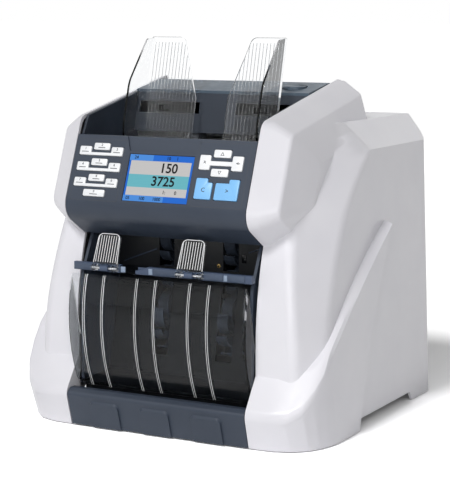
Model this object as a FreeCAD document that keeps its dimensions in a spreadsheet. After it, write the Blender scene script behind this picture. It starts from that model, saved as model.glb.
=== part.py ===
import FreeCAD, Part
import math
import os
import re

import Sketcher
from FreeCAD import Placement, Rotation, Vector

# Two-pocket banknote counter, in millimetres. X runs across the machine, -Y is the front, +Z is up,
# and the origin is on the table under the middle of the machine.

DIMENSIONS = {
    # casing as a whole
    "module_half": 102.5,
    "side_gap": 0.7,
    "shell_wall": 3.0,
    "ground_gap": 1.5,
    "body_half_foot": 167.0,
    "body_draft": 7.0,
    "body_top": 312.0,
    "body_levels": 9,
    "body_front": -142.0,
    "body_rear": 166.5,
    "rear_lean": 11.5,
    "rear_round": 9.0,
    "corner_half": 145.0,
    "corner_pull": 12.0,
    "corner_round": 14.0,
    "corner_inset_share": 0.4,
    "brow_start": -118.0,
    "brow_reach": 165.0,
    "brow_height": 293.0,
    "brow_round": 30.0,
    "brow_limit_share": 0.995,
    "brow_inset_share": 0.5,
    "front_lean": 16.0,
    "lean_start": 100.0,
    "lean_span": 98.0,
    "chamfer_run": 21.0,
    "chamfer_drop": 28.0,
    "chamfer_past_share": 0.5,
    "flange_start": 2.0,
    "undercut_height": 11.0,
    "undercut_front": -41.0,
    "undercut_rear": 103.0,
    "undercut_front_run": 3.0,
    "undercut_rear_run": 8.0,
    # collar round the hopper and the panel
    "panel_tilt": 21.2,
    "panel_foot_y": -163.5,
    "panel_foot_z": 232.0,
    "collar_slope": 11.4,
    "collar_top_y": -122.5,
    "collar_top_z": 319.2,
    "under_slope": 31.9,
    "under_y": -128.0,
    "under_z": 198.0,
    "collar_rear": 44.0,
    "collar_root_z": 285.0,
    "collar_root_y": -60.0,
    "collar_lip_half": 112.0,
    "collar_face_half": 130.0,
    "collar_root_half": 141.0,
    "collar_edge_round": 6.0,
    "collar_brow_round": 14.0,
    "collar_chin_round": 20.0,
    "collar_lip_top": 2.0,
    "collar_lip_front": 6.0,
    "collar_lip_under": 3.0,
    "collar_lip_brow": 13.0,
    "collar_lip_chin": 17.0,
    "collar_lip_share": 0.3,
    "collar_face_top": 14.5,
    "collar_face_front": 16.0,
    "collar_face_under": 16.0,
    "collar_face_brow": 11.0,
    "collar_face_chin": 13.0,
    "collar_face_share": 0.7,
    "collar_root_top": 52.0,
    "collar_root_front": 66.0,
    "collar_root_under": 52.0,
    "collar_root_brow": 9.0,
    "collar_root_chin": 9.0,
    # fender
    "fender_half": 172.0,
    "fender_crest_y": -166.0,
    "fender_crest_z": 36.5,
    "fender_crest_round": 14.0,
    "fender_toe_y": -156.0,
    "fender_heel_y": -44.0,
    "fender_plan_rear": -60.0,
    "fender_plan_share": 0.98,
    "toe_plan_power": 3.0,
    "crest_plan_power": 4.0,
    "crest_lift": 55.0,
    "crest_lift_power": 8.0,
    "fender_rim_power": 16.0,
    "shelf_run": 25.0,
    "shelf_rise": 36.0,
    "shelf_loss_share": 0.62,
    "fender_sweep_y": -66.5,
    "fender_sweep_z": 141.0,
    "fender_tip_y": 36.0,
    "fender_tip_z": 208.0,
    "fender_trail_y": -12.0,
    "fender_trail_z": 100.0,
    "sweep_bevel_y": 6.5,
    "sweep_bevel_z": 5.0,
    "tip_bevel_y": 2.0,
    "tip_bevel_z": 3.5,
    "trail_bevel": 2.0,
    # plates and clearances
    "cut_past": 1.0,
    "join": 1.0,
    "sheet": 2.0,
    "run_gap": 0.05,
    "part_gap": 0.4,
    "frame_inner": 99.8,
    "frame_front": -105.0,
    "frame_rear": 140.0,
    "frame_shoulder_z": 296.0,
    "frame_top_drop": 7.0,
    "frame_step": 3.5,
    "frame_deck_gap": 1.0,
    "frame_deck_drop": 12.0,
    "frame_deck_past": 3.0,
    "cover_gap": 0.2,
    "tie_radius": 5.0,
    "tie_front_y": -96.0,
    "tie_front_z": 32.0,
    "tie_middle_y": 20.0,
    "tie_middle_z": 36.0,
    "tie_rear_y": 125.0,
    "tie_rear_z": 120.0,
    "tie_top_z": 282.0,
    "base_z": 12.0,
    "base_gap": 7.0,
    "base_front": -128.0,
    "foot_radius": 12.0,
    "foot_in": 22.0,
    "foot_front": -108.0,
    "foot_rear": 138.0,
    # control panel, measured up its own face from the foot of the face
    "panel_wall": 3.0,
    "panel_top_z": 299.5,
    "panel_shelf": 6.2,
    "scoop_low": 57.5,
    "scoop_half_low": 38.0,
    "scoop_half_top": 45.0,
    "scoop_depth": 1.6,
    "scoop_rise": 22.0,
    "screen_width": 74.5,
    "screen_height": 49.0,
    "screen_low": 6.0,
    "screen_sink": 0.6,
    "screen_rim": 3.0,
    "screen_depth": 6.0,
    "screen_gap": 0.15,
    "key_gap": 0.4,
    "key_stand": 1.2,
    "key_sink": 4.4,
    "key_flange": 1.0,
    "key_flange_thick": 1.0,
    "row_low": 51.2,
    "row_pitch": 16.35,
    "rocker_left": -96.2,
    "rocker_right": -45.6,
    "rocker_block": 13.4,
    "rocker_height": 9.1,
    "rocker_bar": 3.0,
    "middle_left": -80.0,
    "middle_width": 18.4,
    "middle_rise": 5.8,
    "middle_height": 7.1,
    "zero_left": -83.0,
    "zero_width": 24.7,
    "zero_low": 8.5,
    "arrow_left": 58.2,
    "arrow_width": 18.7,
    "arrow_height": 7.8,
    "up_low": 54.8,
    "down_low": 35.6,
    "link_left": 43.7,
    "link_right": 91.3,
    "link_block": 11.8,
    "link_low": 42.0,
    "link_top": 56.8,
    "link_bar_low": 46.5,
    "link_bar_top": 51.0,
    "wide_low": 12.4,
    "wide_shoulder": 29.3,
    "wide_top": 33.4,
    "clear_left": 43.8,
    "clear_step": 56.5,
    "clear_right": 62.0,
    "start_left": 65.8,
    "start_step": 80.2,
    "start_right": 91.2,
    "board_sink": 7.4,
    "board_thick": 1.6,
    "board_low": 2.0,
    "board_top": 69.5,
    "board_edge_in": 42.0,
    "board_edge_out": 99.0,
    "post_radius": 2.0,
    "post_root": 0.2,
    "post_x": 70.0,
    "post_low": 4.6,
    "post_top": 67.8,
    # plinth
    "plinth_top_z": 41.0,
    "plinth_back_y": -152.0,
    "plinth_ledge": 7.0,
    "plinth_ledge_in": 6.0,
    "plinth_crest_wall": 3.45,
    "plinth_crest_drop": 0.6,
    "plinth_crest_round": 4.5,
    "plinth_toe_wall": 3.15,
    "grip_width": 34.0,
    "grip_pitch": 59.0,
    "grip_rise": 2.0,
    "grip_top_z": 30.0,
    "grip_corner": 5.0,
    # hopper
    "floor_front_z": 297.5,
    "floor_slope": 12.0,
    "floor_rear_y": -30.0,
    "floor_thick": 2.5,
    "hopper_wall": 2.5,
    "hopper_wall_past": 2.8,
    "hopper_wall_step": 1.0,
    "back_low_y": -36.2,
    "back_low_z": 297.0,
    "back_lean": 14.2,
    "back_thick": 2.5,
    "back_gap": 0.3,
    "deck_front_y": -25.0,
    "deck_front_z": 341.0,
    "deck_rear_y": 27.0,
    "deck_rise": 8.4,
    "deck_skirt_y": 43.0,
    "deck_skirt_drop": 33.4,
    "deck_thick": 3.0,
    "deck_drop_run": 9.0,
    "deck_drop": 2.5,
    "deck_drop_wall": 2.4,
    "deck_inner_shift": 0.4,
    "knob_x": 75.0,
    "knob_y": 0.0,
    "knob_radius": 12.0,
    "knob_well": 13.5,
    "knob_well_depth": 4.0,
    "knob_height": 5.6,
    "knob_stem": 4.0,
    "knob_length": 13.0,
    # note guides
    "guide_lean": 14.0,
    "guide_foot_y": -55.7,
    "guide_foot_z": 286.0,
    "guide_height": 114.0,
    "guide_thick": 2.4,
    "guide_fin_round": 30.0,
    "guide_inner_low": 19.0,
    "guide_inner_top": 40.0,
    "guide_knee": 50.0,
    "guide_corner": 7.0,
    "fin_top_in": 14.0,
    "fin_top_drop": 2.0,
    "fin_top_round": 6.0,
    "guide_outer": 78.8,
    "fin_reach": -91.0,
    "fin_low_z": 293.0,
    "fin_front_drop": 42.0,
    "fin_shoulder_y": -79.0,
    "fin_shoulder_z": 351.0,
    "arm_low_z": 319.5,
    "arm_height": 6.0,
    "arm_in": 50.0,
    "arm_width": 14.0,
    "arm_root": 2.0,
    "slot_in": 22.0,
    "slot_out": 96.0,
    "rod_y": -18.0,
    "rod_z": 322.5,
    "rod_radius": 3.0,
    "slider_half": 6.5,
    # rear
    "lid_half": 95.5,
    "lid_low_z": 103.0,
    "lid_pin_y": 157.0,
    "lid_pin_z": 102.0,
    "lid_knuckle": 4.3,
    "lid_knuckle_half": 88.0,
    "lid_notch": 6.0,
    "lid_pin_grip": 6.0,
    "lid_top_z": 312.2,
    "lid_front_y": 44.6,
    "lid_corner": 8.0,
    "lid_end_gap": 0.5,
    "ear_root": 12.0,
    "ear_rise": 5.0,
    "ear_rear": 1.2,
    "rear_cut": 20.0,
    "pin_radius": 2.0,
    "socket_top_z": 95.5,
    "socket_z": 48.0,
    "socket_wall": 2.0,
    "socket_recess": 12.0,
    "socket_set": 0.3,
    "rocker_recess": 7.0,
    "rocker_thick": 5.0,
    "rocker_tilt": 8.0,
    "rocker_axis": 2.6,
    "rocker_gap": 0.3,
    "rocker_dish": 1.2,
    "rocker_belly": 0.8,
    "inlet_x": -62.0,
    "inlet_width": 27.0,
    "inlet_height": 20.0,
    "inlet_depth": 18.0,
    "blade_x": 7.0,
    "blade_drop": 2.0,
    "blade_rise": 3.0,
    "blade_width": 2.0,
    "blade_height": 4.5,
    "blade_sink": 2.0,
    "switch_x": -24.0,
    "switch_width": 15.0,
    "switch_height": 21.0,
    "switch_depth": 14.0,
    "port_x": 34.0,
    "port_pitch": 26.0,
    "port_width": 16.0,
    "port_height": 13.0,
    "port_wall": 1.3,
    "port_depth": 14.0,
    # stacker door
    "door_half": 102.4,
    "door_wall": 2.2,
    "door_low_y": -146.5,
    "door_low_z": 43.0,
    "door_mid_y": -163.0,
    "door_mid_z": 108.0,
    "door_top_y": -156.5,
    "door_top_z": 160.0,
    "door_corner": 14.0,
    "door_corner_depth": 60.0,
    "wing_thick": 2.2,
    "wing_rear": -129.0,
    "wing_slope": 12.0,
    "wing_drop": 12.0,
    "wing_toe": 6.0,
    "eye_rise": 10.0,
    "eye_drop": 6.0,
    "eye_front": 7.0,
    "hollow_past": 10.0,
    "door_pin_y": -134.0,
    "door_pin_z": 54.0,
    "door_pin_past": 0.3,
    "door_rib": 1.2,
    "door_rib_width": 2.2,
    "door_rib_first": -82.0,
    "door_rib_pairs": 3,
    "door_bay": 21.5,
    "door_pitch": 60.5,
    "door_edge_round": 4.5,
    "door_spread": 12.0,
    # pockets
    "pocket_half": 96.6,
    "cheek_front": -141.0,
    "cheek_knee_z": 156.0,
    "cheek_top_y": -117.0,
    "cheek_top_z": 204.0,
    "cheek_rear": -70.0,
    "cheek_rear_rise": 14.0,
    "cheek_round": 25.0,
    "cheek_low": 47.0,
    "stack_front": -142.0,
    "stack_floor_z": 46.0,
    "stack_rear": -92.0,
    "stack_rise": 3.0,
    "stack_bend": 1.6,
    "stack_top_y": -72.0,
    "stack_top_z": 147.0,
    "lip_front": -149.0,
    "lip_low": 162.5,
    "lip_top": 170.5,
    "lip_rear": -141.6,
    "lip_flat": 4.5,
    "lip_drop": 5.0,
    "dip_x": -29.5,
    "dip_depth": 4.3,
    "dip_radius": 26.0,
    "dip_wall": 2.0,
    "tray_thick": 3.0,
    "tray_rear": -78.0,
    "tray_rear_z": 151.0,
    "tray_back_y": -71.0,
    "tray_back_z": 197.0,
    "tray_back_rise": 6.0,
    "tray_under_rise": 4.0,
    "tray_slot_rise": 8.0,
    "stop_left_x": -63.0,
    "stop_right_x": 35.0,
    "stop_pin_y": -152.6,
    "stop_pin_z": 166.5,
    "stop_pin_radius": 1.3,
    "stop_pin_half": 14.0,
    "stop_knuckle": 3.2,
    "stop_clear": 1.0,
    "stop_web_half": 1.92,
    "stop_block_half": 4.5,
    "stop_knuckle_in": 9.5,
    "stop_half_low": 14.5,
    "stop_half_top": 13.0,
    "stop_height": 36.0,
    "stop_thick": 2.0,
    "stop_lean": 19.0,
    "stop_corner": 6.0,
    "ceiling_front": -126.5,
    "ceiling_front_z": 201.0,
    "ceiling_rear": -78.0,
    "ceiling_rear_z": 215.0,
    # shafts of the note path
    "shaft_radius": 4.0,
    "shaft_end": 104.0,
    "bearing_radius": 8.0,
    "bearing_stand": 1.0,
    "pick_y": -91.0,
    "pick_z": 274.8,
    "pick_radius": 15.0,
    "feed_y": -42.0,
    "feed_z": 259.5,
    "feed_radius": 20.0,
    "wheel_in": 20.0,
    "wheel_out": 36.0,
    "retard_y": -25.6,
    "retard_z": 287.3,
    "retard_radius": 11.0,
    "drum_y": 45.0,
    "drum_z": 165.0,
    "drum_radius": 34.0,
    "drum_half": 84.0,
    "chute_gap": 2.0,
    "chute_upper_start": 30.0,
    "chute_upper_end": 140.0,
    "chute_lower_start": -110.0,
    "chute_lower_end": -30.0,
    "sensor_gap": 0.5,
    "sensor_depth": 30.0,
    "sensor_height": 17.0,
    "pinch_y": 89.0,
    "pinch_z": 172.0,
    "pinch_radius": 10.0,
    "gate_y": -4.0,
    "gate_z": 140.0,
    "gate_reach": 20.0,
    "gate_root_half": 1.2,
    "gate_tip_half": 0.4,
    "stacker_y": -59.0,
    "stacker_z": 100.0,
    "stacker_radius": 32.0,
    "reject_y": -48.0,
    "reject_z": 180.0,
    "reject_radius": 27.0,
    "impeller_hub": 11.0,
    "impeller_width": 12.0,
    "impeller_x": 38.0,
    "impeller_fins": 9,
    "fin_thick": 1.6,
    "fin_sweep": 52.0,
    "fin_root": 2.0,
    "fin_bow_share": 0.25,
    "slot_side": 3.0,
    "motor_y": 100.0,
    "motor_z": 60.0,
    "motor_radius": 26.0,
    "motor_length": 62.0,
    "motor_shaft": 3.0,
    # belts outside the right frame, one track beside the other
    "track_start": 106.0,
    "track_pitch": 5.0,
    "track_width": 3.6,
    "belt_thick": 1.4,
    "belt_gap": 0.3,
    "motor_pulley": 11.0,
    "drum_pulley": 22.0,
    "feed_pulley": 14.0,
    "pick_pulley": 10.5,
    "stacker_pulley": 16.0,
    "reject_pulley": 13.0,
    # electrics and fasteners
    "board_stand": 4.2,
    "standoff_in": 8.0,
    "standoff_radius": 3.0,
    "circuit_front": -40.0,
    "circuit_rear": 130.0,
    "circuit_low": 90.0,
    "circuit_top": 240.0,
    "supply_gap": 7.0,
    "supply_front": 20.0,
    "supply_rear": 130.0,
    "supply_height": 56.0,
    "screw_x": 88.0,
    "screw_radius": 3.0,
    "screw_head": 1.6,
    "screw_rise": 8.0,
    "screw_drop": 18.0,
}

document = FreeCAD.newDocument("NoteCounter")
sheet = document.addObject("Spreadsheet::Sheet", "Dims")
for row, (alias, value) in enumerate(DIMENSIONS.items(), 1):
    sheet.set(f"A{row}", alias)
    sheet.set(f"B{row}", str(value))
    sheet.setAlias(f"B{row}", alias)
document.recompute()

FUNCTIONS = {"sin", "cos", "tan", "sqrt"}
NODES = []

# Points closer together than this are one point
NEAR = 1e-3


class Sizes:
    """The sheet's numbers by name, for shapes that are worked out in code."""

    def __getattr__(self, alias):
        return float(sheet.get(alias))


size = Sizes()


def bind(expression):
    """An expression in the sheet's names, as the document reads it."""
    return re.sub(r"[a-z_]+", lambda m: m[0] if m[0] in FUNCTIONS else f"Dims.{m[0]}", str(expression))


def number(expression):
    """The present value of an expression in the sheet's names."""
    value = sheet.evalExpression(bind(expression))
    return float(getattr(value, "Value", value))


def keep(thing, label):
    """Mark a finished sub-part as a node of the machine."""
    thing.Label = label
    NODES.append(thing)
    return thing


# Sketches, pads and pockets


def new_body(label):
    return document.addObject("PartDesign::Body", label)


def new_sketch(body, role, offset="0", tilt=None, base=None):
    """A sketch on one of the body's own planes, moved along its normal or leant about its X axis."""
    sketch = body.newObject("Sketcher::SketchObject", f"{body.Name}Sketch")
    plane = next(feature for feature in body.Origin.OriginFeatures if feature.Role == role)
    sketch.AttachmentSupport = [(plane, "")]
    sketch.MapMode = "FlatFace"
    if tilt is None:
        sketch.setExpression("AttachmentOffset.Base.z", bind(offset))
        return sketch
    up, out = base
    turn = Rotation(Vector(1, 0, 0), number(tilt))
    sketch.AttachmentOffset = Placement(Vector(0, number(up), number(out)), turn)
    sketch.setExpression("AttachmentOffset.Base.y", bind(up))
    sketch.setExpression("AttachmentOffset.Base.z", bind(out))
    sketch.setExpression("AttachmentOffset.Rotation.Angle", bind(tilt))
    return sketch


def pin_point(sketch, index, end, point):
    """Bind both coordinates of a sketch point to the sheet."""
    for kind, axis, expression in (("DistanceX", -2, point[0]), ("DistanceY", -1, point[1])):
        value = number(expression)
        if abs(value) < 1e-9:
            sketch.addConstraint(Sketcher.Constraint("PointOnObject", index, end, axis))
            continue
        constraint = sketch.addConstraint(Sketcher.Constraint(kind, -1, 1, index, end, value))
        sketch.setExpression(f"Constraints[{constraint}]", bind(expression))


def add_outline(sketch, points):
    """A closed outline of straight lines, every corner bound to the sheet."""
    places = [Vector(number(u), number(v), 0) for u, v in points]
    first = sketch.GeometryCount
    count = len(points)
    for index, place in enumerate(places):
        sketch.addGeometry(Part.LineSegment(place, places[(index + 1) % count]))
    for index in range(count):
        after = first + (index + 1) % count
        sketch.addConstraint(Sketcher.Constraint("Coincident", first + index, 2, after, 1))
    for index, point in enumerate(points):
        pin_point(sketch, first + index, 1, point)


def add_circle(sketch, u, v, radius):
    """A circle whose centre and radius are bound to the sheet."""
    circle = Part.Circle(Vector(number(u), number(v), 0), Vector(0, 0, 1), number(radius))
    index = sketch.addGeometry(circle)
    pin_point(sketch, index, 3, (u, v))
    constraint = sketch.addConstraint(Sketcher.Constraint("Radius", index, number(radius)))
    sketch.setExpression(f"Constraints[{constraint}]", bind(radius))


def rectangle(left, low, right, top):
    return [(left, low), (right, low), (right, top), (left, top)]


def pad(body, sketch, length, middle=False, back=False):
    feature = body.newObject("PartDesign::Pad", f"{body.Name}Pad")
    feature.Profile = sketch
    feature.setExpression("Length", bind(length))
    feature.Midplane = middle
    feature.Reversed = back
    document.recompute()
    return feature


def pocket(body, sketch, length, middle=False, back=False):
    """A pocket that must take material away."""
    before = body.Shape.Volume
    feature = body.newObject("PartDesign::Pocket", f"{body.Name}Pocket")
    feature.Profile = sketch
    feature.setExpression("Length", bind(length))
    feature.Midplane = middle
    feature.Reversed = back
    document.recompute()
    if not body.Shape.Volume < before - 1e-6:
        raise ValueError(f"{feature.Name} cuts nothing")
    return feature


def fillet(body, names, radius):
    """Round the named edges of a body's last feature."""
    base = body.Tip
    feature = body.newObject("PartDesign::Fillet", f"{body.Name}Fillet")
    feature.Base = (base, names)
    feature.setExpression("Radius", bind(radius))
    document.recompute()


def round_side_corners(body, corners):
    """Fillet the edges that run across the machine at corners of the side view, given with their radii."""
    for radius in sorted({radius for _, _, radius in corners}):
        places = [(number(y), number(z)) for y, z, own in corners if own == radius]
        names = []
        for index, edge in enumerate(body.Tip.Shape.Edges, 1):
            ends = [(vertex.Y, vertex.Z) for vertex in edge.Vertexes]
            for place in places:
                if all(math.dist(place, end) < NEAR for end in ends):
                    names.append(f"Edge{index}")
        fillet(body, names, radius)


def leaning(x, up, foot, lean):
    """A point some way up a plate that leans back from its foot."""
    height, angle = number(up), math.radians(number(lean))
    y = number(f"{foot}_y") + height * math.sin(angle)
    return Vector(number(x), y, number(f"{foot}_z") + height * math.cos(angle))


def round_edges(body, middles, radius):
    """Fillet the edges whose middles are given."""
    names = []
    for index, edge in enumerate(body.Tip.Shape.Edges, 1):
        if any(edge.CenterOfMass.distanceToPoint(middle) < NEAR for middle in middles):
            names.append(f"Edge{index}")
    fillet(body, names, radius)


def prism(label, points, start, length, rounds=()):
    """A body with one side-view outline carried across the machine from a start for a length."""
    body = new_body(label)
    sketch = new_sketch(body, "YZ_Plane", start)
    add_outline(sketch, points)
    pad(body, sketch, length)
    if rounds:
        round_side_corners(body, rounds)
    return body


def add_prism(body, points, start, length):
    sketch = new_sketch(body, "YZ_Plane", start)
    add_outline(sketch, points)
    return pad(body, sketch, length)


def full_width(half):
    """Start and length of a prism that spans the machine between plus and minus a half width."""
    return f"-({half})", f"2*({half})"


def add_barrel(body, y, z, radius, start, length):
    """A round barrel along X, added to a body."""
    sketch = new_sketch(body, "YZ_Plane", start)
    add_circle(sketch, y, z, radius)
    return pad(body, sketch, length)


def bore(body, y, z, radius, start, length):
    """A round hole along X."""
    sketch = new_sketch(body, "YZ_Plane", start)
    add_circle(sketch, y, z, radius)
    return pocket(body, sketch, length, back=True)


def turned(label, steps, y, z):
    """A stepped round piece about an axis along X: each step is its start, its end and its radius."""
    body = new_body(label)
    sketch = new_sketch(body, "XY_Plane")
    points = [(steps[0][0], "0")]
    for start, end, radius in steps:
        points += [(start, radius), (end, radius)]
    points.append((steps[-1][1], "0"))
    add_outline(sketch, points)
    feature = body.newObject("PartDesign::Revolution", f"{label}Revolution")
    feature.Profile = sketch
    feature.ReferenceAxis = (sketch, ["H_Axis"])
    feature.Angle = 360
    body.setExpression("Placement.Base.y", bind(y))
    body.setExpression("Placement.Base.z", bind(z))
    document.recompute()
    return body


def rod(label, y, z, radius, start, length):
    """A plain round bar along X."""
    bar = document.addObject("Part::Cylinder", label)
    bar.setExpression("Radius", bind(radius))
    bar.setExpression("Height", bind(length))
    bar.Placement = Placement(Vector(), Rotation(Vector(0, 1, 0), 90))
    bar.setExpression("Placement.Base.x", bind(start))
    bar.setExpression("Placement.Base.y", bind(y))
    bar.setExpression("Placement.Base.z", bind(z))
    return bar


def disc(label, x, y, z, radius, height):
    """A plain upright round piece."""
    post = document.addObject("Part::Cylinder", label)
    post.setExpression("Radius", bind(radius))
    post.setExpression("Height", bind(height))
    post.setExpression("Placement.Base.x", bind(x))
    post.setExpression("Placement.Base.y", bind(y))
    post.setExpression("Placement.Base.z", bind(z))
    return post


def block(label, left, right, front, rear, low, top):
    """A plain box between six faces."""
    box = document.addObject("Part::Box", label)
    sides = (("Length", left, right, "x"), ("Width", front, rear, "y"), ("Height", low, top, "z"))
    for side, a, b, axis in sides:
        box.setExpression(side, bind(f"({b}) - ({a})"))
        box.setExpression(f"Placement.Base.{axis}", bind(a))
    return box


def cut(label, base, tool):
    feature = document.addObject("Part::Cut", label)
    feature.Base = base
    feature.Tool = tool
    document.recompute()
    return feature


def group(label, things):
    """Separate like pieces kept together as one node."""
    feature = document.addObject("Part::Compound", label)
    feature.Links = things
    document.recompute()
    return keep(feature, label)


def mirrored(label, source):
    feature = document.addObject("Part::Mirroring", label)
    feature.Source = source
    feature.Normal = Vector(1, 0, 0)
    document.recompute()
    return keep(feature, label)


# Side shells


def meet(point_a, angle_a, point_b, angle_b):
    """Crossing point of two lines of the side view, each a point and a direction in degrees."""
    ya, za = point_a
    yb, zb = point_b
    ca, sa = math.cos(math.radians(angle_a)), math.sin(math.radians(angle_a))
    cb, sb = math.cos(math.radians(angle_b)), math.sin(math.radians(angle_b))
    along = ((yb - ya) * sb - (zb - za) * cb) / (ca * sb - sa * cb)
    return ya + along * ca, za + along * sa


def shifted(point, angle, inward):
    """A line's point moved to the left of the line's direction."""
    y, z = point
    return y - inward * math.sin(math.radians(angle)), z + inward * math.cos(math.radians(angle))


def corner_arc(before, corner, after, radius):
    """Start, middle and end of the arc that rounds a corner between two other points."""
    back = (before - corner).normalize()
    on = (after - corner).normalize()
    half_turn = back.getAngle(on) / 2
    reach = radius / math.tan(half_turn)
    middle = corner + (back + on).normalize() * (radius / math.sin(half_turn) - radius)
    return corner + back * reach, middle, corner + on * reach


def rounded_loop(corners):
    """Closed flat wire through corners, each a point and its radius, which is zero for a sharp one."""
    ends = []
    count = len(corners)
    for index, (corner, radius) in enumerate(corners):
        if not radius:
            ends.append((corner, corner, corner, 0))
            continue
        arc = corner_arc(corners[index - 1][0], corner, corners[(index + 1) % count][0], radius)
        ends.append((*arc, radius))
    edges = []
    for index, (start, middle, end, radius) in enumerate(ends):
        if radius:
            edges.append(Part.Arc(start, middle, end).toShape())
        edges.append(Part.LineSegment(end, ends[(index + 1) % count][0]).toShape())
    return Part.Wire(edges)


def side_loop(half, corners):
    """A loop of the side view, corners as y, z and radius, at a distance from the middle of the machine."""
    return rounded_loop([(Vector(half, y, z), radius) for y, z, radius in corners])


def side_block(corners, start, length):
    return Part.Face(side_loop(start, corners)).extrude(Vector(length, 0, 0))


def rear_wall_y(z):
    """The rear face leans forward as it rises."""
    return size.body_rear - size.rear_lean * z / size.brow_height


def inner_side(inset):
    """The shell is open towards the middle, so its cavity runs a little past the open edge."""
    return size.module_half + size.side_gap - (size.cut_past if inset else 0.0)


def shell_body(inset):
    """The upright side of the casing: plan sections lofted upwards, the brow swept back in an ellipse."""
    d = size
    levels = int(d.body_levels)
    low = d.ground_gap - (d.cut_past if inset else 0.0)
    high = d.body_top - inset
    sections = []
    for step in range(levels):
        z = low + (high - low) * step / (levels - 1)
        lean = max(0.0, (z - d.lean_start) / d.lean_span)
        front = d.body_front + d.front_lean * lean ** 2 + inset
        corner = d.corner_half - d.corner_pull * lean - inset * d.corner_inset_share
        side = d.body_half_foot - d.body_draft * z / d.brow_height - inset
        rise = min(z / d.brow_height, d.brow_limit_share)
        brow = d.brow_start + d.brow_reach * (1 - math.sqrt(1 - rise ** 2)) + inset * d.brow_inset_share
        rear = rear_wall_y(z) - inset
        inner = inner_side(inset)
        plan = [
            (inner, front, 0),
            (corner, front, d.corner_round - inset),
            (side, brow, d.brow_round),
            (side, rear, d.rear_round),
            (inner, rear, 0),
        ]
        sections.append(rounded_loop([(Vector(x, y, z), radius) for x, y, radius in plan]))
    return Part.makeLoft(sections, True, False).cut(top_chamfer(inset))


def top_chamfer(inset):
    """What the slope along the top outer edge takes away."""
    d = size
    shoulder_z = d.body_top - d.chamfer_drop
    side = d.body_half_foot - d.body_draft * shoulder_z / d.brow_height - inset
    top = d.body_top - inset
    past = d.chamfer_past_share
    corners = [
        (side + past * d.chamfer_run, top - (1 + past) * d.chamfer_drop),
        (side - (1 + past) * d.chamfer_run, top + past * d.chamfer_drop),
        (side + past * d.chamfer_run, top + past * d.chamfer_drop),
    ]
    loop = [Vector(x, -d.body_half_foot, z) for x, z in corners]
    return Part.Face(Part.makePolygon(loop + loop[:1])).extrude(Vector(0, 2 * d.body_half_foot, 0))


def collar_outline(half, top, front, under, brow_round, chin_round):
    """One side-view section of the collar, its top, front and under lines moved inward."""
    d = size
    top_line = shifted((d.collar_top_y, d.collar_top_z), 180 + d.collar_slope, top), d.collar_slope
    front_line = shifted((d.panel_foot_y, d.panel_foot_z), -90 - d.panel_tilt, front), 90 - d.panel_tilt
    under_line = shifted((d.under_y, d.under_z), -d.under_slope, under), -d.under_slope
    corners = [
        (*meet((d.collar_rear, 0.0), 90, *top_line), 0),
        (*meet(*top_line, *front_line), brow_round),
        (*meet(*front_line, *under_line), chin_round),
        (*meet((d.collar_root_y, 0.0), 90, *under_line), 0),
        (d.collar_rear, d.collar_root_z, 0),
    ]
    return side_loop(half, corners)


def collar_section(name, thinning, inset):
    """A named section of the collar, brought in from its side and moved inward."""
    moves = [number(f"collar_{name}_{line}") + inset for line in ("top", "front", "under")]
    rounds = [number(f"collar_{name}_{corner}") for corner in ("brow", "chin")]
    return collar_outline(number(f"collar_{name}_half") - thinning, *moves, *rounds)


def shell_collar(inset):
    """The raised collar: side-view sections lofted outwards, with a lip, a face and a flank."""
    d = size
    rounds = d.collar_brow_round, d.collar_chin_round
    sections = [
        collar_outline(inner_side(inset), inset, inset, inset, *rounds),
        collar_section("lip", inset * d.collar_lip_share, inset),
        collar_section("face", inset * d.collar_face_share, inset),
        collar_section("root", inset, 0.0),
    ]
    collar = Part.makeLoft(sections, True, True)
    if inset:
        return collar
    return collar.makeFillet(d.collar_edge_round, [edge for edge in collar.Edges if on_collar_edge(edge)])


def on_collar_edge(edge):
    """Whether an edge is on the outer rim of the collar's face."""
    at_rim = all(abs(vertex.X - size.collar_face_half) < NEAR for vertex in edge.Vertexes)
    middle = edge.CenterOfMass
    at_rear = middle.y > size.collar_rear - NEAR
    at_root = middle.z < size.collar_root_z and middle.y > size.collar_root_y
    return at_rim and not at_rear and not at_root


def swept_back(share, front, power):
    """Depth of the fender's front some way out, on a curve that starts square and turns to the side."""
    rear = size.fender_plan_rear
    return rear - (rear - front) * (1 - share ** power) ** (1 / power)


def fender_loop(out):
    """Side view of the fender at a share of its way out: toe, crest, shelf and two arcs to the tip."""
    d = size
    inner = inner_side(0.0)
    half = inner + out * (d.fender_half - inner)
    share = out * d.fender_plan_share
    rim = out ** d.fender_rim_power
    crest_y = swept_back(share, d.fender_crest_y, d.crest_plan_power)
    crest_z = d.fender_crest_z + d.crest_lift * share ** d.crest_lift_power
    shelf = 1 - d.shelf_loss_share * rim
    places = [
        (swept_back(share, d.fender_toe_y, d.toe_plan_power), d.ground_gap),
        (crest_y, crest_z),
        (crest_y + shelf * d.shelf_run, crest_z + shelf * d.shelf_rise),
        (d.fender_sweep_y + rim * d.sweep_bevel_y, d.fender_sweep_z - rim * d.sweep_bevel_z),
        (d.fender_tip_y - rim * d.tip_bevel_y, d.fender_tip_z - rim * d.tip_bevel_z),
        (d.fender_trail_y - rim * d.trail_bevel, d.fender_trail_z - rim * d.trail_bevel),
        (d.fender_heel_y, d.ground_gap),
    ]
    toe, crest, ledge, sweep, tip, trail, heel = [Vector(half, y, z) for y, z in places]
    rise, turn, slope = corner_arc(toe, crest, ledge, d.fender_crest_round)
    return Part.Wire([
        Part.LineSegment(toe, rise).toShape(),
        Part.Arc(rise, turn, slope).toShape(),
        Part.LineSegment(slope, ledge).toShape(),
        Part.Arc(ledge, sweep, tip).toShape(),
        Part.Arc(tip, trail, heel).toShape(),
        Part.LineSegment(heel, toe).toShape(),
    ])


# Shares of the fender's way out at which its side view is drawn, closer together towards its rounded rim
FENDER_STATIONS = (0.0, 0.35, 0.62, 0.8, 0.91, 0.97, 1.0)


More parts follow.
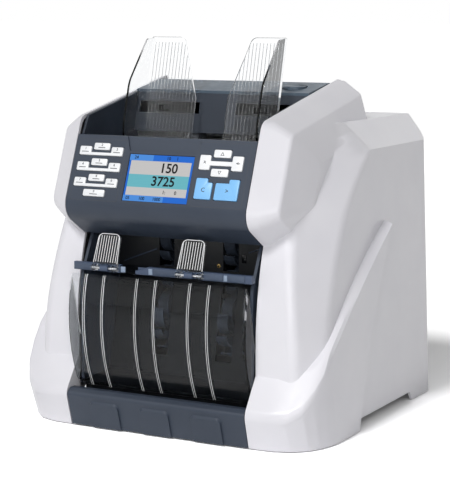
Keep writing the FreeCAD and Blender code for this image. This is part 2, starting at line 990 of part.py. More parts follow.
def shell_fender():
    """Side views lofted outwards: the front sweeps round the corner, the crest rises into the flank."""
    return Part.makeLoft([fender_loop(out) for out in FENDER_STATIONS], True, True)


def rear_flange():
    """The strip of the shell that turns inward along the top and down the back, up to the rear cover."""
    d = size
    wall = d.shell_wall
    high = d.body_top
    low = d.ground_gap
    corners = [
        (d.collar_rear + d.flange_start, high, 0),
        (rear_wall_y(high), high, 0),
        (rear_wall_y(low), low, 0),
        (rear_wall_y(low) - wall, low, 0),
        (rear_wall_y(high) - wall, high - wall, 0),
        (d.collar_rear + d.flange_start, high - wall, 0),
    ]
    inner = d.lid_half + d.side_gap
    return side_block(corners, inner, inner_side(0.0) + wall - inner)


def undercut():
    """The raised stretch of the lower edge between the front foot and the rear foot."""
    d = size
    corners = [
        (d.undercut_front, d.ground_gap - d.cut_past, 0),
        (d.undercut_front + d.undercut_front_run, d.undercut_height, 0),
        (d.undercut_rear, d.undercut_height, 0),
        (d.undercut_rear + d.undercut_rear_run, d.ground_gap - d.cut_past, 0),
    ]
    return side_block(corners, inner_side(0.0) - d.cut_past, d.body_half_foot)


def side_shells():
    """Right shell from its three bodies less the cavity, and its mirror image on the left."""
    wall = size.shell_wall
    outside = shell_body(0.0).fuse([shell_collar(0.0), shell_fender()])
    cavity = shell_body(wall).fuse(shell_collar(wall))
    shell = document.addObject("Part::Feature", "right_shell")
    shell.Shape = outside.cut(cavity).fuse(rear_flange()).cut(undercut()).removeSplitter()
    keep(shell, "right_shell")
    mirrored("left_shell", shell)


# Lines of the side view that several pieces share


def face_y(z, inset="0"):
    """Depth of the panel's face at a height, moved inward square to the face."""
    return f"(panel_foot_y + ({inset})/cos(panel_tilt) + (({z}) - panel_foot_z)*tan(panel_tilt))"


def chin(inset="0"):
    """Corner where the panel's face turns under, moved inward."""
    under = f"(under_z + ({inset})/cos(under_slope))"
    level = f"(({under}) + under_y*tan(under_slope) - panel_foot_z)*tan(panel_tilt)"
    y = f"((panel_foot_y + ({inset})/cos(panel_tilt) + {level})/(1 + tan(under_slope)*tan(panel_tilt)))"
    return y, f"({under} - ({y} - under_y)*tan(under_slope))"


FLOOR_FRONT = f"({face_y('panel_top_z')} + panel_shelf)"
FRAME_LOW = "(base_z + sheet)"
FRAME_OUTER = "(frame_inner + sheet)"
FRAME_STEP = "(floor_rear_y + frame_step)"
COVER_HALF = "(module_half - cover_gap)"
CHEEK_INNER = "pocket_half"
BASE_HALF = "(body_half_foot - body_draft - shell_wall - base_gap)"
DECK_REAR_Z = "(deck_front_z + deck_rise)"
DECK_SKIRT_Z = f"({DECK_REAR_Z} - deck_skirt_drop)"
DECK_SLOPE = "(deck_rise/(deck_rear_y - deck_front_y))"
KNOB_WELL_Z = f"(deck_front_z + (knob_y - deck_front_y)*{DECK_SLOPE} - knob_well_depth)"


def floor_z(y, under="0"):
    """Height of the hopper floor at a depth, moved down square to the floor."""
    return f"(floor_front_z - (({y}) - {FLOOR_FRONT})*tan(floor_slope) - ({under})/cos(floor_slope))"


def rear_y(z, inset="0"):
    """Depth of the leaning rear face at a height."""
    return f"(body_rear - rear_lean*({z})/brow_height - ({inset}))"


# Base and frames


def base_plate():
    rear = f"({rear_y(FRAME_LOW, 'panel_wall')} - part_gap)"
    plate = block("base_plate", f"-{BASE_HALF}", BASE_HALF, "base_front", rear, "base_z", FRAME_LOW)
    keep(plate, "base_plate")


def rubber_feet():
    feet = []
    for side in (f"{BASE_HALF} - foot_in", f"foot_in - {BASE_HALF}"):
        for depth in ("foot_front", "foot_rear"):
            feet.append(disc("rubber_foot", side, depth, "0", "foot_radius", "base_z"))
    group("rubber_feet", feet)


SHAFTS = ("pick", "feed", "drum", "pinch", "gate", "stacker", "reject")


def side_frames():
    """Steel side plates with a bored bearing boss for every shaft."""
    top = "deck_front_z - frame_top_drop"
    outline = [
        ("frame_front", FRAME_LOW),
        ("frame_rear", FRAME_LOW),
        ("frame_rear", "frame_shoulder_z"),
        ("deck_skirt_y - frame_deck_gap", f"{DECK_SKIRT_Z} - frame_deck_drop"),
        ("deck_rear_y + frame_deck_past", top),
        (FRAME_STEP, top),
        (FRAME_STEP, floor_z(FRAME_STEP, "floor_thick")),
        ("frame_front", floor_z("frame_front", "floor_thick")),
    ]
    frame = prism("side_frame_right", outline, "frame_inner", "sheet")
    bosses = new_sketch(frame, "YZ_Plane", "frame_inner + sheet/2")
    for shaft in SHAFTS:
        add_circle(bosses, f"{shaft}_y", f"{shaft}_z", "bearing_radius")
    pad(frame, bosses, "sheet/2 + bearing_stand")
    holes = new_sketch(frame, "YZ_Plane", "frame_inner - cut_past")
    for shaft in SHAFTS:
        add_circle(holes, f"{shaft}_y", f"{shaft}_z", "shaft_radius + run_gap")
    add_circle(holes, "motor_y", "motor_z", "bearing_radius")
    pocket(frame, holes, "sheet + bearing_stand + 2*cut_past", back=True)
    keep(frame, "side_frame_right")
    mirrored("side_frame_left", frame)


def tie_bars():
    places = [
        ("tie_front_y", "tie_front_z"),
        ("tie_middle_y", "tie_middle_z"),
        ("tie_rear_y", "tie_top_z"),
        ("tie_rear_y", "tie_rear_z"),
    ]
    bars = []
    for y, z in places:
        bars.append(rod("tie_bar", y, z, "tie_radius", *full_width("frame_inner")))
    group("tie_bars", bars)


# Control panel


def panel_sketch(body, out):
    """A sketch parallel to the panel's face, a distance out from it, measured up from its foot."""
    base = f"panel_foot_z + ({out})*sin(panel_tilt)", f"-panel_foot_y + ({out})*cos(panel_tilt)"
    return new_sketch(body, "XZ_Plane", tilt="-panel_tilt", base=base)


def panel_piece(label):
    """A body whose own plane is the panel's face, with Z pointing out of it."""
    body = new_body(label)
    turn = Rotation(Vector(1, 0, 0), number("90 - panel_tilt"))
    body.Placement = Placement(Vector(0, size.panel_foot_y, size.panel_foot_z), turn)
    body.setExpression("Placement.Base.y", bind("panel_foot_y"))
    body.setExpression("Placement.Base.z", bind("panel_foot_z"))
    body.setExpression("Placement.Rotation.Angle", bind("90 - panel_tilt"))
    return body


def plate_on_panel(body, points, low, thickness):
    """Pad an outline of the panel's face from a level below it."""
    sketch = new_sketch(body, "XY_Plane", low)
    add_outline(sketch, points)
    return pad(body, sketch, thickness)


def box_key(left, low, width, height):
    right, top = f"{left} + {width}", f"{low} + {height}"
    return [(left, low, -1, -1), (right, low, 1, -1), (right, top, 1, 1), (left, top, -1, 1)]


def rocker_key(row):
    """U-shaped key: two end blocks joined by a bar along the bottom."""
    low = f"row_low - {row}*row_pitch"
    bar, top = f"{low} + rocker_bar", f"{low} + rocker_height"
    left_in, right_in = "rocker_left + rocker_block", "rocker_right - rocker_block"
    return [
        ("rocker_left", low, -1, -1),
        ("rocker_right", low, 1, -1),
        ("rocker_right", top, 1, 1),
        (right_in, top, -1, 1),
        (right_in, bar, -1, 1),
        (left_in, bar, 1, 1),
        (left_in, top, 1, 1),
        ("rocker_left", top, -1, 1),
    ]


def link_key():
    """H-shaped key: two end blocks joined by a bar across the middle."""
    left_in, right_in = "link_left + link_block", "link_right - link_block"
    return [
        ("link_left", "link_low", -1, -1),
        (left_in, "link_low", 1, -1),
        (left_in, "link_bar_low", 1, -1),
        (right_in, "link_bar_low", -1, -1),
        (right_in, "link_low", -1, -1),
        ("link_right", "link_low", 1, -1),
        ("link_right", "link_top", 1, 1),
        (right_in, "link_top", -1, 1),
        (right_in, "link_bar_top", -1, 1),
        (left_in, "link_bar_top", 1, 1),
        (left_in, "link_top", 1, 1),
        ("link_left", "link_top", -1, 1),
    ]


def wide_keys():
    """The clear key and the start key, each with one stepped top corner."""
    clear = [
        ("clear_left", "wide_low", -1, -1),
        ("clear_right", "wide_low", 1, -1),
        ("clear_right", "wide_shoulder", 1, 1),
        ("clear_step", "wide_shoulder", 1, 1),
        ("clear_step", "wide_top", 1, 1),
        ("clear_left", "wide_top", -1, 1),
    ]
    start = [
        ("start_left", "wide_low", -1, -1),
        ("start_right", "wide_low", 1, -1),
        ("start_right", "wide_top", 1, 1),
        ("start_step", "wide_top", -1, 1),
        ("start_step", "wide_shoulder", -1, 1),
        ("start_left", "wide_shoulder", -1, 1),
    ]
    return {"key_clear": clear, "key_start": start}


def key_outlines():
    """Every key's outline on the panel, by node name."""
    keys = {}
    rows = (("key_1_3", "key_2"), ("key_4_6", "key_5"), ("key_7_9", "key_8"))
    for row, (rocker, middle) in enumerate(rows):
        keys[rocker] = rocker_key(row)
        rise = f"row_low - {row}*row_pitch + middle_rise"
        keys[middle] = box_key("middle_left", rise, "middle_width", "middle_height")
    keys["key_0"] = box_key("zero_left", "zero_low", "zero_width", "middle_height")
    keys["key_up"] = box_key("arrow_left", "up_low", "arrow_width", "arrow_height")
    keys["key_down"] = box_key("arrow_left", "down_low", "arrow_width", "arrow_height")
    keys["key_escape_enter"] = link_key()
    keys.update(wide_keys())
    return keys


def grown(outline, growth):
    """A key's outline made larger all round."""
    return [(f"{x} + ({sx})*({growth})", f"{up} + ({sy})*({growth})") for x, up, sx, sy in outline]


def keys():
    """Each key is a cap through the panel on a flange that stays behind it."""
    for label, outline in key_outlines().items():
        body = panel_piece(label)
        flange = "-key_sink - key_flange_thick"
        plate_on_panel(body, grown(outline, "key_flange"), flange, "key_flange_thick")
        plate_on_panel(body, grown(outline, "0"), "-key_sink", "key_sink + key_stand")
        keep(body, label)


def screen_rectangle(growth):
    half = f"screen_width/2 + ({growth})"
    low, top = f"screen_low - ({growth})", f"screen_low + screen_height + ({growth})"
    return rectangle(f"-({half})", low, half, top)


def control_panel():
    """Housing that folds under at the chin, with a screen window, key openings, a scoop and board posts."""
    wall = "panel_wall"
    top_in = "(panel_top_z - panel_wall)"
    outline = [
        (FLOOR_FRONT, "panel_top_z"),
        (face_y("panel_top_z"), "panel_top_z"),
        chin(),
        ("under_y", "under_z"),
        ("under_y", "under_z + panel_wall/cos(under_slope)"),
        chin(wall),
        (face_y(top_in, wall), top_in),
        (FLOOR_FRONT, top_in),
    ]
    rounds = [(*chin(), "collar_chin_round"), (*chin(wall), "collar_chin_round - panel_wall")]
    body = prism("control_panel", outline, *full_width("module_half"), rounds)
    scoop = panel_sketch(body, "cut_past")
    low, top = "scoop_low", "screen_low + screen_height + scoop_rise"
    foot = [("-scoop_half_low", low), ("scoop_half_low", low)]
    add_outline(scoop, [*foot, ("scoop_half_top", top), ("-scoop_half_top", top)])
    pocket(body, scoop, "scoop_depth + cut_past")
    windows = panel_sketch(body, "cut_past")
    add_outline(windows, screen_rectangle("0"))
    for outline in key_outlines().values():
        add_outline(windows, grown(outline, "key_gap"))
    pocket(body, windows, "panel_wall + 2*cut_past")
    posts = panel_sketch(body, "-panel_wall + post_root")
    for x in ("post_x", "-post_x"):
        for up in ("post_low", "post_top"):
            add_circle(posts, x, up, "post_radius")
    pad(body, posts, "board_sink - panel_wall + post_root", back=True)
    keep(body, "control_panel")


def display_module():
    body = panel_piece("display_module")
    left, right = "-screen_width/2 - screen_rim", "screen_width/2 + screen_rim"
    behind = rectangle(left, "screen_low + part_gap", right, "screen_low + screen_height + screen_rim")
    plate_on_panel(body, behind, "-panel_wall - screen_depth", "screen_depth")
    plate_on_panel(body, screen_rectangle("-screen_gap"), "-panel_wall", "panel_wall - screen_sink")
    keep(body, "display_module")


def keypad_boards():
    boards = []
    for left, right in (("board_edge_in", "board_edge_out"), ("-board_edge_out", "-board_edge_in")):
        board = panel_piece("keypad_board")
        outline = rectangle(left, "board_low", right, "board_top")
        plate_on_panel(board, outline, "-board_sink - board_thick", "board_thick")
        boards.append(board)
    group("keypad_boards", boards)


# Plinth


def on_grip_corner(vertex):
    """Whether a point is on an upper corner of a grip pad."""
    out = abs(abs(vertex.X) - size.grip_width / 2)
    side = min(out, abs(abs(vertex.X) - size.grip_pitch - size.grip_width / 2))
    side = min(side, abs(abs(vertex.X) - size.grip_pitch + size.grip_width / 2))
    return side < NEAR and vertex.Z > size.grip_top_z - size.grip_rise - NEAR


def front_plinth():
    """Slate front foot: a folded wall with three raised grip pads."""
    crest = "fender_crest_y", "fender_crest_z"
    outline = [
        ("fender_toe_y", "ground_gap"),
        crest,
        ("plinth_back_y - plinth_ledge", "plinth_top_z"),
        ("plinth_back_y", "plinth_top_z"),
        ("plinth_back_y", "plinth_top_z - panel_wall"),
        ("plinth_back_y - plinth_ledge_in", "plinth_top_z - panel_wall"),
        ("fender_crest_y + plinth_crest_wall", "fender_crest_z - plinth_crest_drop"),
        ("fender_toe_y + plinth_toe_wall", "ground_gap"),
    ]
    rounds = [(*crest, "plinth_crest_round")]
    body = prism("front_plinth", outline, *full_width("module_half"), rounds)
    slope = "((fender_crest_y - fender_toe_y)/(fender_crest_z - ground_gap))"
    top_y = f"(fender_toe_y + {slope}*(grip_top_z - ground_gap))"
    for middle in ("-grip_pitch", "0", "grip_pitch"):
        grip = [
            ("fender_toe_y + join", "ground_gap"),
            ("fender_toe_y - grip_rise", "ground_gap"),
            (f"{top_y} - grip_rise", "grip_top_z - grip_rise"),
            (f"{top_y} + join", "grip_top_z + join"),
        ]
        add_prism(body, grip, f"{middle} - grip_width/2", "grip_width")
    corners = []
    for index, edge in enumerate(body.Tip.Shape.Edges, 1):
        first, last = edge.Vertexes[0], edge.Vertexes[-1]
        if on_grip_corner(first) and on_grip_corner(last) and abs(first.X - last.X) < NEAR:
            corners.append(f"Edge{index}")
    fillet(body, corners, "grip_corner")
    keep(body, "front_plinth")


# Hopper


def add_slots(body, places, low, top):
    """Upright slots cut straight through front to back: each place is a left and a right edge."""
    sketch = new_sketch(body, "XZ_Plane", "body_rear")
    for left, right in places:
        add_outline(sketch, rectangle(left, low, right, top))
    pocket(body, sketch, "2*body_rear")


def wheel_slots(middle, half):
    """Left and right edges of a pair of slots that clear wheels on both sides of the machine."""
    reach = f"({half} + slot_side)"
    sides = (middle, f"-{middle}")
    return [(f"{side} - {reach}", f"{side} + {reach}") for side in sides]


WHEEL_MIDDLE = "(wheel_in + wheel_out)/2"
WHEEL_HALF = "(wheel_out - wheel_in)/2"


def hopper_tray():
    """Sloping hopper floor with its two low side walls and openings for the wheels below."""
    half = COVER_HALF
    front, rear = FLOOR_FRONT, "floor_rear_y"
    floor = [
        (front, floor_z(front)),
        (rear, floor_z(rear)),
        (rear, floor_z(rear, "floor_thick")),
        (front, floor_z(front, "floor_thick")),
    ]
    body = prism("hopper_tray", floor, *full_width(half))
    wall_rear = "(floor_rear_y + hopper_wall_past)"
    wall_top = f"(collar_top_z - hopper_wall_step + ({wall_rear} - collar_top_y)*tan(collar_slope))"
    side = [
        (front, floor_z(front, "floor_thick")),
        (wall_rear, floor_z(wall_rear, "floor_thick")),
        (wall_rear, wall_top),
        ("collar_top_y + hopper_wall_step", "collar_top_z - hopper_wall_step"),
        (front, "panel_top_z + hopper_wall_step"),
    ]
    for start in (f"{half} - hopper_wall", f"-{half}"):
        add_prism(body, side, start, "hopper_wall")
    sketch = new_sketch(body, "XY_Plane", "collar_top_z")
    for left, right in wheel_slots(WHEEL_MIDDLE, WHEEL_HALF):
        add_outline(sketch, rectangle(left, "pick_y - pick_radius", right, "pick_y + pick_radius"))
        add_outline(sketch, rectangle(left, "feed_y - feed_radius", right, "floor_rear_y + cut_past"))
    pocket(body, sketch, "collar_top_z - feed_z")
    keep(body, "hopper_tray")


def back_y(z, behind="0"):
    """Depth of the leaning back plate at a height."""
    return f"(back_low_y + (({z}) - back_low_z)*tan(back_lean) + ({behind})/cos(back_lean))"


def hopper_back():
    top = "(deck_front_z - deck_thick)"
    outline = [
        (back_y("back_low_z"), "back_low_z"),
        (back_y(top), top),
        (back_y(top, "back_thick"), top),
        (back_y("back_low_z", "back_thick"), "back_low_z"),
    ]
    body = prism("hopper_back", outline, *full_width("frame_inner - back_gap"))
    slots = [("slot_in", "slot_out"), ("-slot_out", "-slot_in")]
    add_slots(body, slots, "arm_low_z - slot_side", "arm_low_z + arm_height + slot_side")
    keep(body, "hopper_back")


def guide_rod():
    keep(rod("guide_rod", "rod_y", "rod_z", "rod_radius", *full_width("frame_inner")), "guide_rod")


def note_guides():
    """Sliding hopper guides: a leaning plate with an outer fin, an arm and a bored slider on the rod."""
    body = new_body("guide_right")
    face = new_sketch(body, "XZ_Plane", tilt="-guide_lean", base=("guide_foot_z", "-guide_foot_y"))
    top = "guide_height"
    inner = [("guide_inner_top", top), ("guide_inner_low", "guide_knee"), ("guide_inner_low", "0")]
    add_outline(face, [("guide_outer", "0"), ("guide_outer", top), *inner])
    pad(body, face, "guide_thick", back=True)
    half = size.guide_thick / 2
    corner = leaning("guide_inner_top", top, "guide_foot", "guide_lean")
    sunk = Rotation(Vector(1, 0, 0), -size.guide_lean).multVec(Vector(0, half, 0))
    round_edges(body, [corner + sunk], "guide_corner")
    top_y = "(guide_foot_y + guide_height*sin(guide_lean))"
    top_z = "(guide_foot_z + guide_height*cos(guide_lean))"
    fin_top = f"{top_y} - fin_top_in", f"{top_z} - fin_top_drop"
    fin = [
        ("guide_foot_y + join", "guide_foot_z + join"),
        (f"{top_y} + join", f"{top_z} - join"),
        fin_top,
        ("fin_shoulder_y", "fin_shoulder_z"),
        ("fin_reach", "fin_shoulder_z - fin_front_drop"),
        ("fin_reach", "fin_low_z"),
    ]
    add_prism(body, fin, "guide_outer - guide_thick", "guide_thick")
    arm_rear = "(rod_y - slider_half)"
    arm_front = "(guide_foot_y + (arm_low_z - guide_foot_z)*tan(guide_lean) + arm_root)"
    arm_top = "arm_low_z + arm_height"
    arm = rectangle(arm_front, "arm_low_z", f"{arm_rear} + join", arm_top)
    add_prism(body, arm, "arm_in", "arm_width")
    slider = rectangle(arm_rear, "rod_z - slider_half", "rod_y + slider_half", "rod_z + slider_half")
    add_prism(body, slider, "arm_in", "arm_width")
    bore(body, "rod_y", "rod_z", "rod_radius + run_gap", "arm_in - cut_past", "arm_width + 2*cut_past")
    shoulder = "fin_shoulder_y", "fin_shoulder_z"
    round_side_corners(body, [(*shoulder, "guide_fin_round"), (*fin_top, "fin_top_round")])
    keep(body, "guide_right")
    mirrored("guide_left", body)


def top_deck():
    """Deck behind the hopper, with a sunk well for the gap knob."""
    drop_y, drop_z = "deck_rear_y + deck_drop_run", f"{DECK_REAR_Z} - deck_drop"
    outline = [
        ("deck_front_y", "deck_front_z"),
        ("deck_rear_y", DECK_REAR_Z),
        (drop_y, drop_z),
        ("deck_skirt_y", DECK_SKIRT_Z),
        ("deck_skirt_y - deck_thick", DECK_SKIRT_Z),
        (f"{drop_y} - deck_drop_wall", f"{drop_z} - deck_drop_wall"),
        ("deck_rear_y - deck_inner_shift", f"{DECK_REAR_Z} - deck_thick"),
        ("deck_front_y", "deck_front_z - deck_thick"),
    ]
    body = prism("top_deck", outline, *full_width(COVER_HALF))
    boss = new_sketch(body, "XY_Plane", f"{KNOB_WELL_Z} - deck_thick")
    add_circle(boss, "knob_x", "knob_y", "knob_well + deck_thick")
    pad(body, boss, "deck_thick + join")
    well = new_sketch(body, "XY_Plane", f"{DECK_REAR_Z} + cut_past")
    add_circle(well, "knob_x", "knob_y", "knob_well")
    pocket(body, well, f"{DECK_REAR_Z} + cut_past - {KNOB_WELL_Z}")
    hole = new_sketch(body, "XY_Plane", f"{KNOB_WELL_Z} + cut_past")
    add_circle(hole, "knob_x", "knob_y", "knob_stem + run_gap")
    pocket(body, hole, "deck_thick + 2*cut_past")
    keep(body, "top_deck")


def gap_knob():
    body = new_body("gap_knob")
    stem = new_sketch(body, "XY_Plane", f"{KNOB_WELL_Z} - knob_length")
    add_circle(stem, "knob_x", "knob_y", "knob_stem")
    pad(body, stem, "knob_length + part_gap + join")
    head = new_sketch(body, "XY_Plane", f"{KNOB_WELL_Z} + part_gap")
    add_circle(head, "knob_x", "knob_y", "knob_radius")
    pad(body, head, "knob_height - part_gap")
    keep(body, "gap_knob")


# Rear


def rear_cover():
    """Service cover folded over the top and the rear, on one long hinge barrel."""
    top, low = "lid_top_z", "lid_low_z"
    wall = "panel_wall"
    under = "lid_top_z - panel_wall"
    outer, inner = (rear_y(top), top), (rear_y(under, wall), under)
    outline = [
        ("lid_front_y", top),
        outer,
        (rear_y(low), low),
        (rear_y(low, wall), low),
        inner,
        ("lid_front_y", under),
    ]
    rounds = [(*outer, "lid_corner"), (*inner, "lid_corner - panel_wall")]
    body = prism("rear_cover", outline, *full_width("lid_half"), rounds)
    notch_in = "lid_knuckle_half"
    notch_out = "(lid_half + cut_past)"
    sketch = new_sketch(body, "XZ_Plane", "-body_rear - cut_past")
    for left, right in ((notch_in, notch_out), (f"-{notch_out}", f"-{notch_in}")):
        add_outline(sketch, rectangle(left, "lid_low_z - cut_past", right, "lid_low_z + lid_notch"))
    pocket(body, sketch, "rear_cut", back=True)
    add_barrel(body, "lid_pin_y", "lid_pin_z", "lid_knuckle", *full_width("lid_knuckle_half"))
    for start in ("lid_knuckle_half - lid_pin_grip", "-lid_knuckle_half - cut_past"):
        bore(body, "lid_pin_y", "lid_pin_z", "pin_radius + run_gap", start, "lid_pin_grip + cut_past")
    keep(body, "rear_cover")


def port_places():
    return ["port_x", "port_x + port_pitch"]


def centred(x, z, width, height, growth="0"):
    """A rectangle about a middle, made larger all round."""
    across, up = f"(({width})/2 + ({growth}))", f"(({height})/2 + ({growth}))"
    return rectangle(f"{x} - {across}", f"{z} - {up}", f"{x} + {across}", f"{z} + {up}")


def rear_panel():
    """Lower rear wall with openings for the inlet, switch and sockets, and ears for the cover's hinge."""
    low, top, wall = FRAME_LOW, "socket_top_z", "panel_wall"
    outline = [(rear_y(low), low), (rear_y(top), top), (rear_y(top, wall), top), (rear_y(low, wall), low)]
    body = prism("rear_panel", outline, *full_width("lid_half"))
    reach = "lid_knuckle"
    foot = "socket_top_z - ear_root"
    ear = [
        (rear_y(foot, "panel_wall - join"), foot),
        (f"lid_pin_y - {reach}", "socket_top_z - ear_rise"),
        (f"lid_pin_y - {reach}", f"lid_pin_z + {reach}"),
        ("lid_pin_y + ear_rear", f"lid_pin_z + {reach}"),
        (rear_y("socket_top_z", "panel_wall - join"), "socket_top_z"),
    ]
    ear_in = "(lid_knuckle_half + lid_end_gap)"
    for start in (ear_in, "-lid_half"):
        add_prism(body, ear, start, f"lid_half - {ear_in}")
    for start in (f"{ear_in} - cut_past", "-lid_half - cut_past"):
        length = "lid_half - lid_knuckle_half + 2*cut_past"
        bore(body, "lid_pin_y", "lid_pin_z", "pin_radius", start, length)
    openings = new_sketch(body, "XZ_Plane", "-body_rear - cut_past")
    add_outline(openings, centred("inlet_x", "socket_z", "inlet_width", "inlet_height"))
    add_outline(openings, centred("switch_x", "socket_z", "switch_width", "switch_height"))
    for x in port_places():
        add_outline(openings, centred(x, "socket_z", "port_width", "port_height"))
    pocket(body, openings, "rear_cut", back=True)
    keep(body, "rear_panel")


REAR_FACE = rear_y("socket_z", "socket_set")


def socket_shell(label, x, width, height, depth, wall, recess):
    """A box let into the rear wall, hollowed from behind."""
    body = new_body(label)
    outer = new_sketch(body, "XZ_Plane", f"-({REAR_FACE})")
    add_outline(outer, centred(x, "socket_z", width, height))
    pad(body, outer, depth)
    inner = new_sketch(body, "XZ_Plane", f"-({REAR_FACE})")
    add_outline(inner, centred(x, "socket_z", width, height, f"-({wall})"))
    pocket(body, inner, recess, back=True)
    return body


def power_inlet():
    """Inlet with three contact blades."""
    outer = "inlet_x", "inlet_width", "inlet_height", "inlet_depth"
    body = socket_shell("power_inlet", *outer, "socket_wall", "socket_recess")
    blades = new_sketch(body, "XZ_Plane", f"-({REAR_FACE}) + socket_recess")
    for across_by, up_by in (("-blade_x", "-blade_drop"), ("0", "blade_rise"), ("blade_x", "-blade_drop")):
        middle = f"inlet_x + ({across_by})", f"socket_z + ({up_by})"
        add_outline(blades, centred(*middle, "blade_width", "blade_height"))
    pad(body, blades, "socket_recess - blade_sink", back=True)
    return body


def rear_sockets():
    """The power inlet and two data sockets."""
    ports = []
    for x in port_places():
        outer = x, "port_width", "port_height", "port_depth"
        ports.append(socket_shell("data_port", *outer, "port_wall", "socket_recess"))
    group("rear_sockets", [power_inlet(), *ports])


def power_switch():
    """Switch housing and its rocker, which rests with one end pressed in."""
    outer = "switch_x", "switch_width", "switch_height", "switch_depth"
    shell = socket_shell("power_switch", *outer, "socket_wall", "rocker_recess")
    keep(shell, "power_switch")
    body = new_body("power_rocker")
    sketch = new_sketch(body, "YZ_Plane")
    end = "(switch_height/2 - socket_wall - part_gap - rocker_gap)"
    rear, back = "rocker_thick/2", "-rocker_thick/2"
    outline = [
        (back, f"-{end}"),
        (rear, f"-{end}"),
        (f"{rear} - rocker_dish", "0"),
        (rear, end),
        (back, end),
        (f"{back} - rocker_belly", "0"),
    ]
    add_outline(sketch, outline)
    pad(body, sketch, "switch_width - 2*socket_wall - 2*part_gap", middle=True)
    body.Placement = Placement(Vector(), Rotation(Vector(1, 0, 0), size.rocker_tilt))
    body.setExpression("Placement.Base.x", bind("switch_x"))
    body.setExpression("Placement.Base.y", bind(f"{REAR_FACE} - rocker_axis"))
    body.setExpression("Placement.Base.z", bind("socket_z"))
    body.setExpression("Placement.Rotation.Angle", bind("rocker_tilt"))
    keep(body, "power_rocker")


# Note path


def track(index):
    """Left edge of a belt track."""
    return f"(track_start + {index}*track_pitch)"


def track_end(index):
    return f"({track(index)} + track_width)"


LEFT_END = "-shaft_end"


def shaft_with(label, shaft, steps, pulleys):
    """A stepped shaft in its bearings: wheels between the frames, pulleys on belt tracks at the right."""
    radius = "shaft_radius"
    full = []
    reach = LEFT_END
    for start, end, own in steps + pulleys:
        if start != reach:
            full.append((reach, start, radius))
        full.append((start, end, own))
        reach = end
    if not pulleys:
        full.append((reach, "shaft_end", radius))
    return turned(label, full, f"{shaft}_y", f"{shaft}_z")


def wheel_pair(radius):
    return [("-wheel_out", "-wheel_in", radius), ("wheel_in", "wheel_out", radius)]


def rollers():
    """Pick-up, feed, drum and pinch rollers on their shafts, and the fixed retard rollers."""
    pick_drive = [(track(2), track_end(2), "pick_pulley")]
    feed_drive = [(track(1), track_end(2), "feed_pulley")]
    drum_drive = [(track(0), track_end(2), "drum_pulley")]
    keep(shaft_with("pickup_roller", "pick", wheel_pair("pick_radius"), pick_drive), "pickup_roller")
    keep(shaft_with("feed_roller", "feed", wheel_pair("feed_radius"), feed_drive), "feed_roller")
    drum = [("-drum_half", "drum_half", "drum_radius")]
    keep(shaft_with("transport_drum", "drum", drum, drum_drive), "transport_drum")
    pinch = [("-drum_half", "drum_half", "pinch_radius")]
    keep(shaft_with("pinch_roller", "pinch", pinch, []), "pinch_roller")
    steps = [("-frame_inner", "-wheel_out", "shaft_radius"), ("-wheel_out", "-wheel_in", "retard_radius")]
    steps += [("-wheel_in", "wheel_in", "shaft_radius"), ("wheel_in", "wheel_out", "retard_radius")]
    steps += [("wheel_out", "frame_inner", "shaft_radius")]
    keep(turned("retard_roller", steps, "retard_y", "retard_z"), "retard_roller")


def polar(radius, degrees):
    angle = math.radians(degrees)
    return Vector(0, radius * math.cos(angle), radius * math.sin(angle))


def impeller_fin(radius):
    """One swept fin in the side view, bounded by two arcs that run from the hub to the tip."""
    hub, sweep = size.impeller_hub, size.fin_sweep
    places = ((hub - size.fin_root, 0.0), ((hub + radius) / 2, size.fin_bow_share * sweep), (radius, sweep))
    near = [polar(r, -a) for r, a in places]
    curve = Part.Arc(*near).toShape().Curve
    growth = (curve.Radius + size.fin_thick) / curve.Radius
    far = [curve.Center + (p - curve.Center) * growth for p in near]
    sides = [Part.Arc(*near).toShape(), Part.makeLine(near[2], far[2])]
    sides += [Part.Arc(far[2], far[1], far[0]).toShape(), Part.makeLine(far[0], near[0])]
    return Part.Face(Part.Wire(sides))


def impeller(label, shaft, radius, middle):
    """A stacking wheel: a hub with a ring of swept fins that catch one note each."""
    fin = impeller_fin(radius).extrude(Vector(size.impeller_width, 0, 0))
    hub = Part.makeCylinder(size.impeller_hub, size.impeller_width, Vector(), Vector(1, 0, 0))
    fins = []
    for index in range(int(size.impeller_fins)):
        copy = fin.copy()
        copy.rotate(Vector(), Vector(1, 0, 0), index * 360 / size.impeller_fins)
        fins.append(copy)
    wheel = document.addObject("Part::Feature", label)
    wheel.Shape = hub.multiFuse(fins).removeSplitter()
    wheel.setExpression("Placement.Base.x", bind(f"{middle} - impeller_width/2"))
    wheel.setExpression("Placement.Base.y", bind(f"{shaft}_y"))
    wheel.setExpression("Placement.Base.z", bind(f"{shaft}_z"))
    return wheel


def impeller_shaft(label, shaft, radius, first, last):
    """Two stacking wheels on one driven shaft."""
    pulley = [(track(first), track_end(last), f"{shaft}_pulley")]
    axle = shaft_with(f"{label}_axle", shaft, [], pulley)
    wheels = [impeller(f"{label}_wheel", shaft, radius, middle) for middle in ("impeller_x", "-impeller_x")]
    fused = document.addObject("Part::MultiFuse", label)
    fused.Shapes = [axle, *wheels]
    document.recompute()
    keep(fused, label)


def diverter_gate():
    """Rocking blade that sends a note down to the stacker or on to the reject pocket."""
    tip = "(gate_y - gate_reach)"
    blade = [
        ("gate_y", "gate_z + gate_root_half"),
        (tip, "gate_z + gate_tip_half"),
        (tip, "gate_z - gate_tip_half"),
        ("gate_y", "gate_z - gate_root_half"),
    ]
    body = prism("diverter_gate", blade, *full_width("drum_half"))
    add_barrel(body, "gate_y", "gate_z", "shaft_radius", *full_width("shaft_end"))
    keep(body, "diverter_gate")


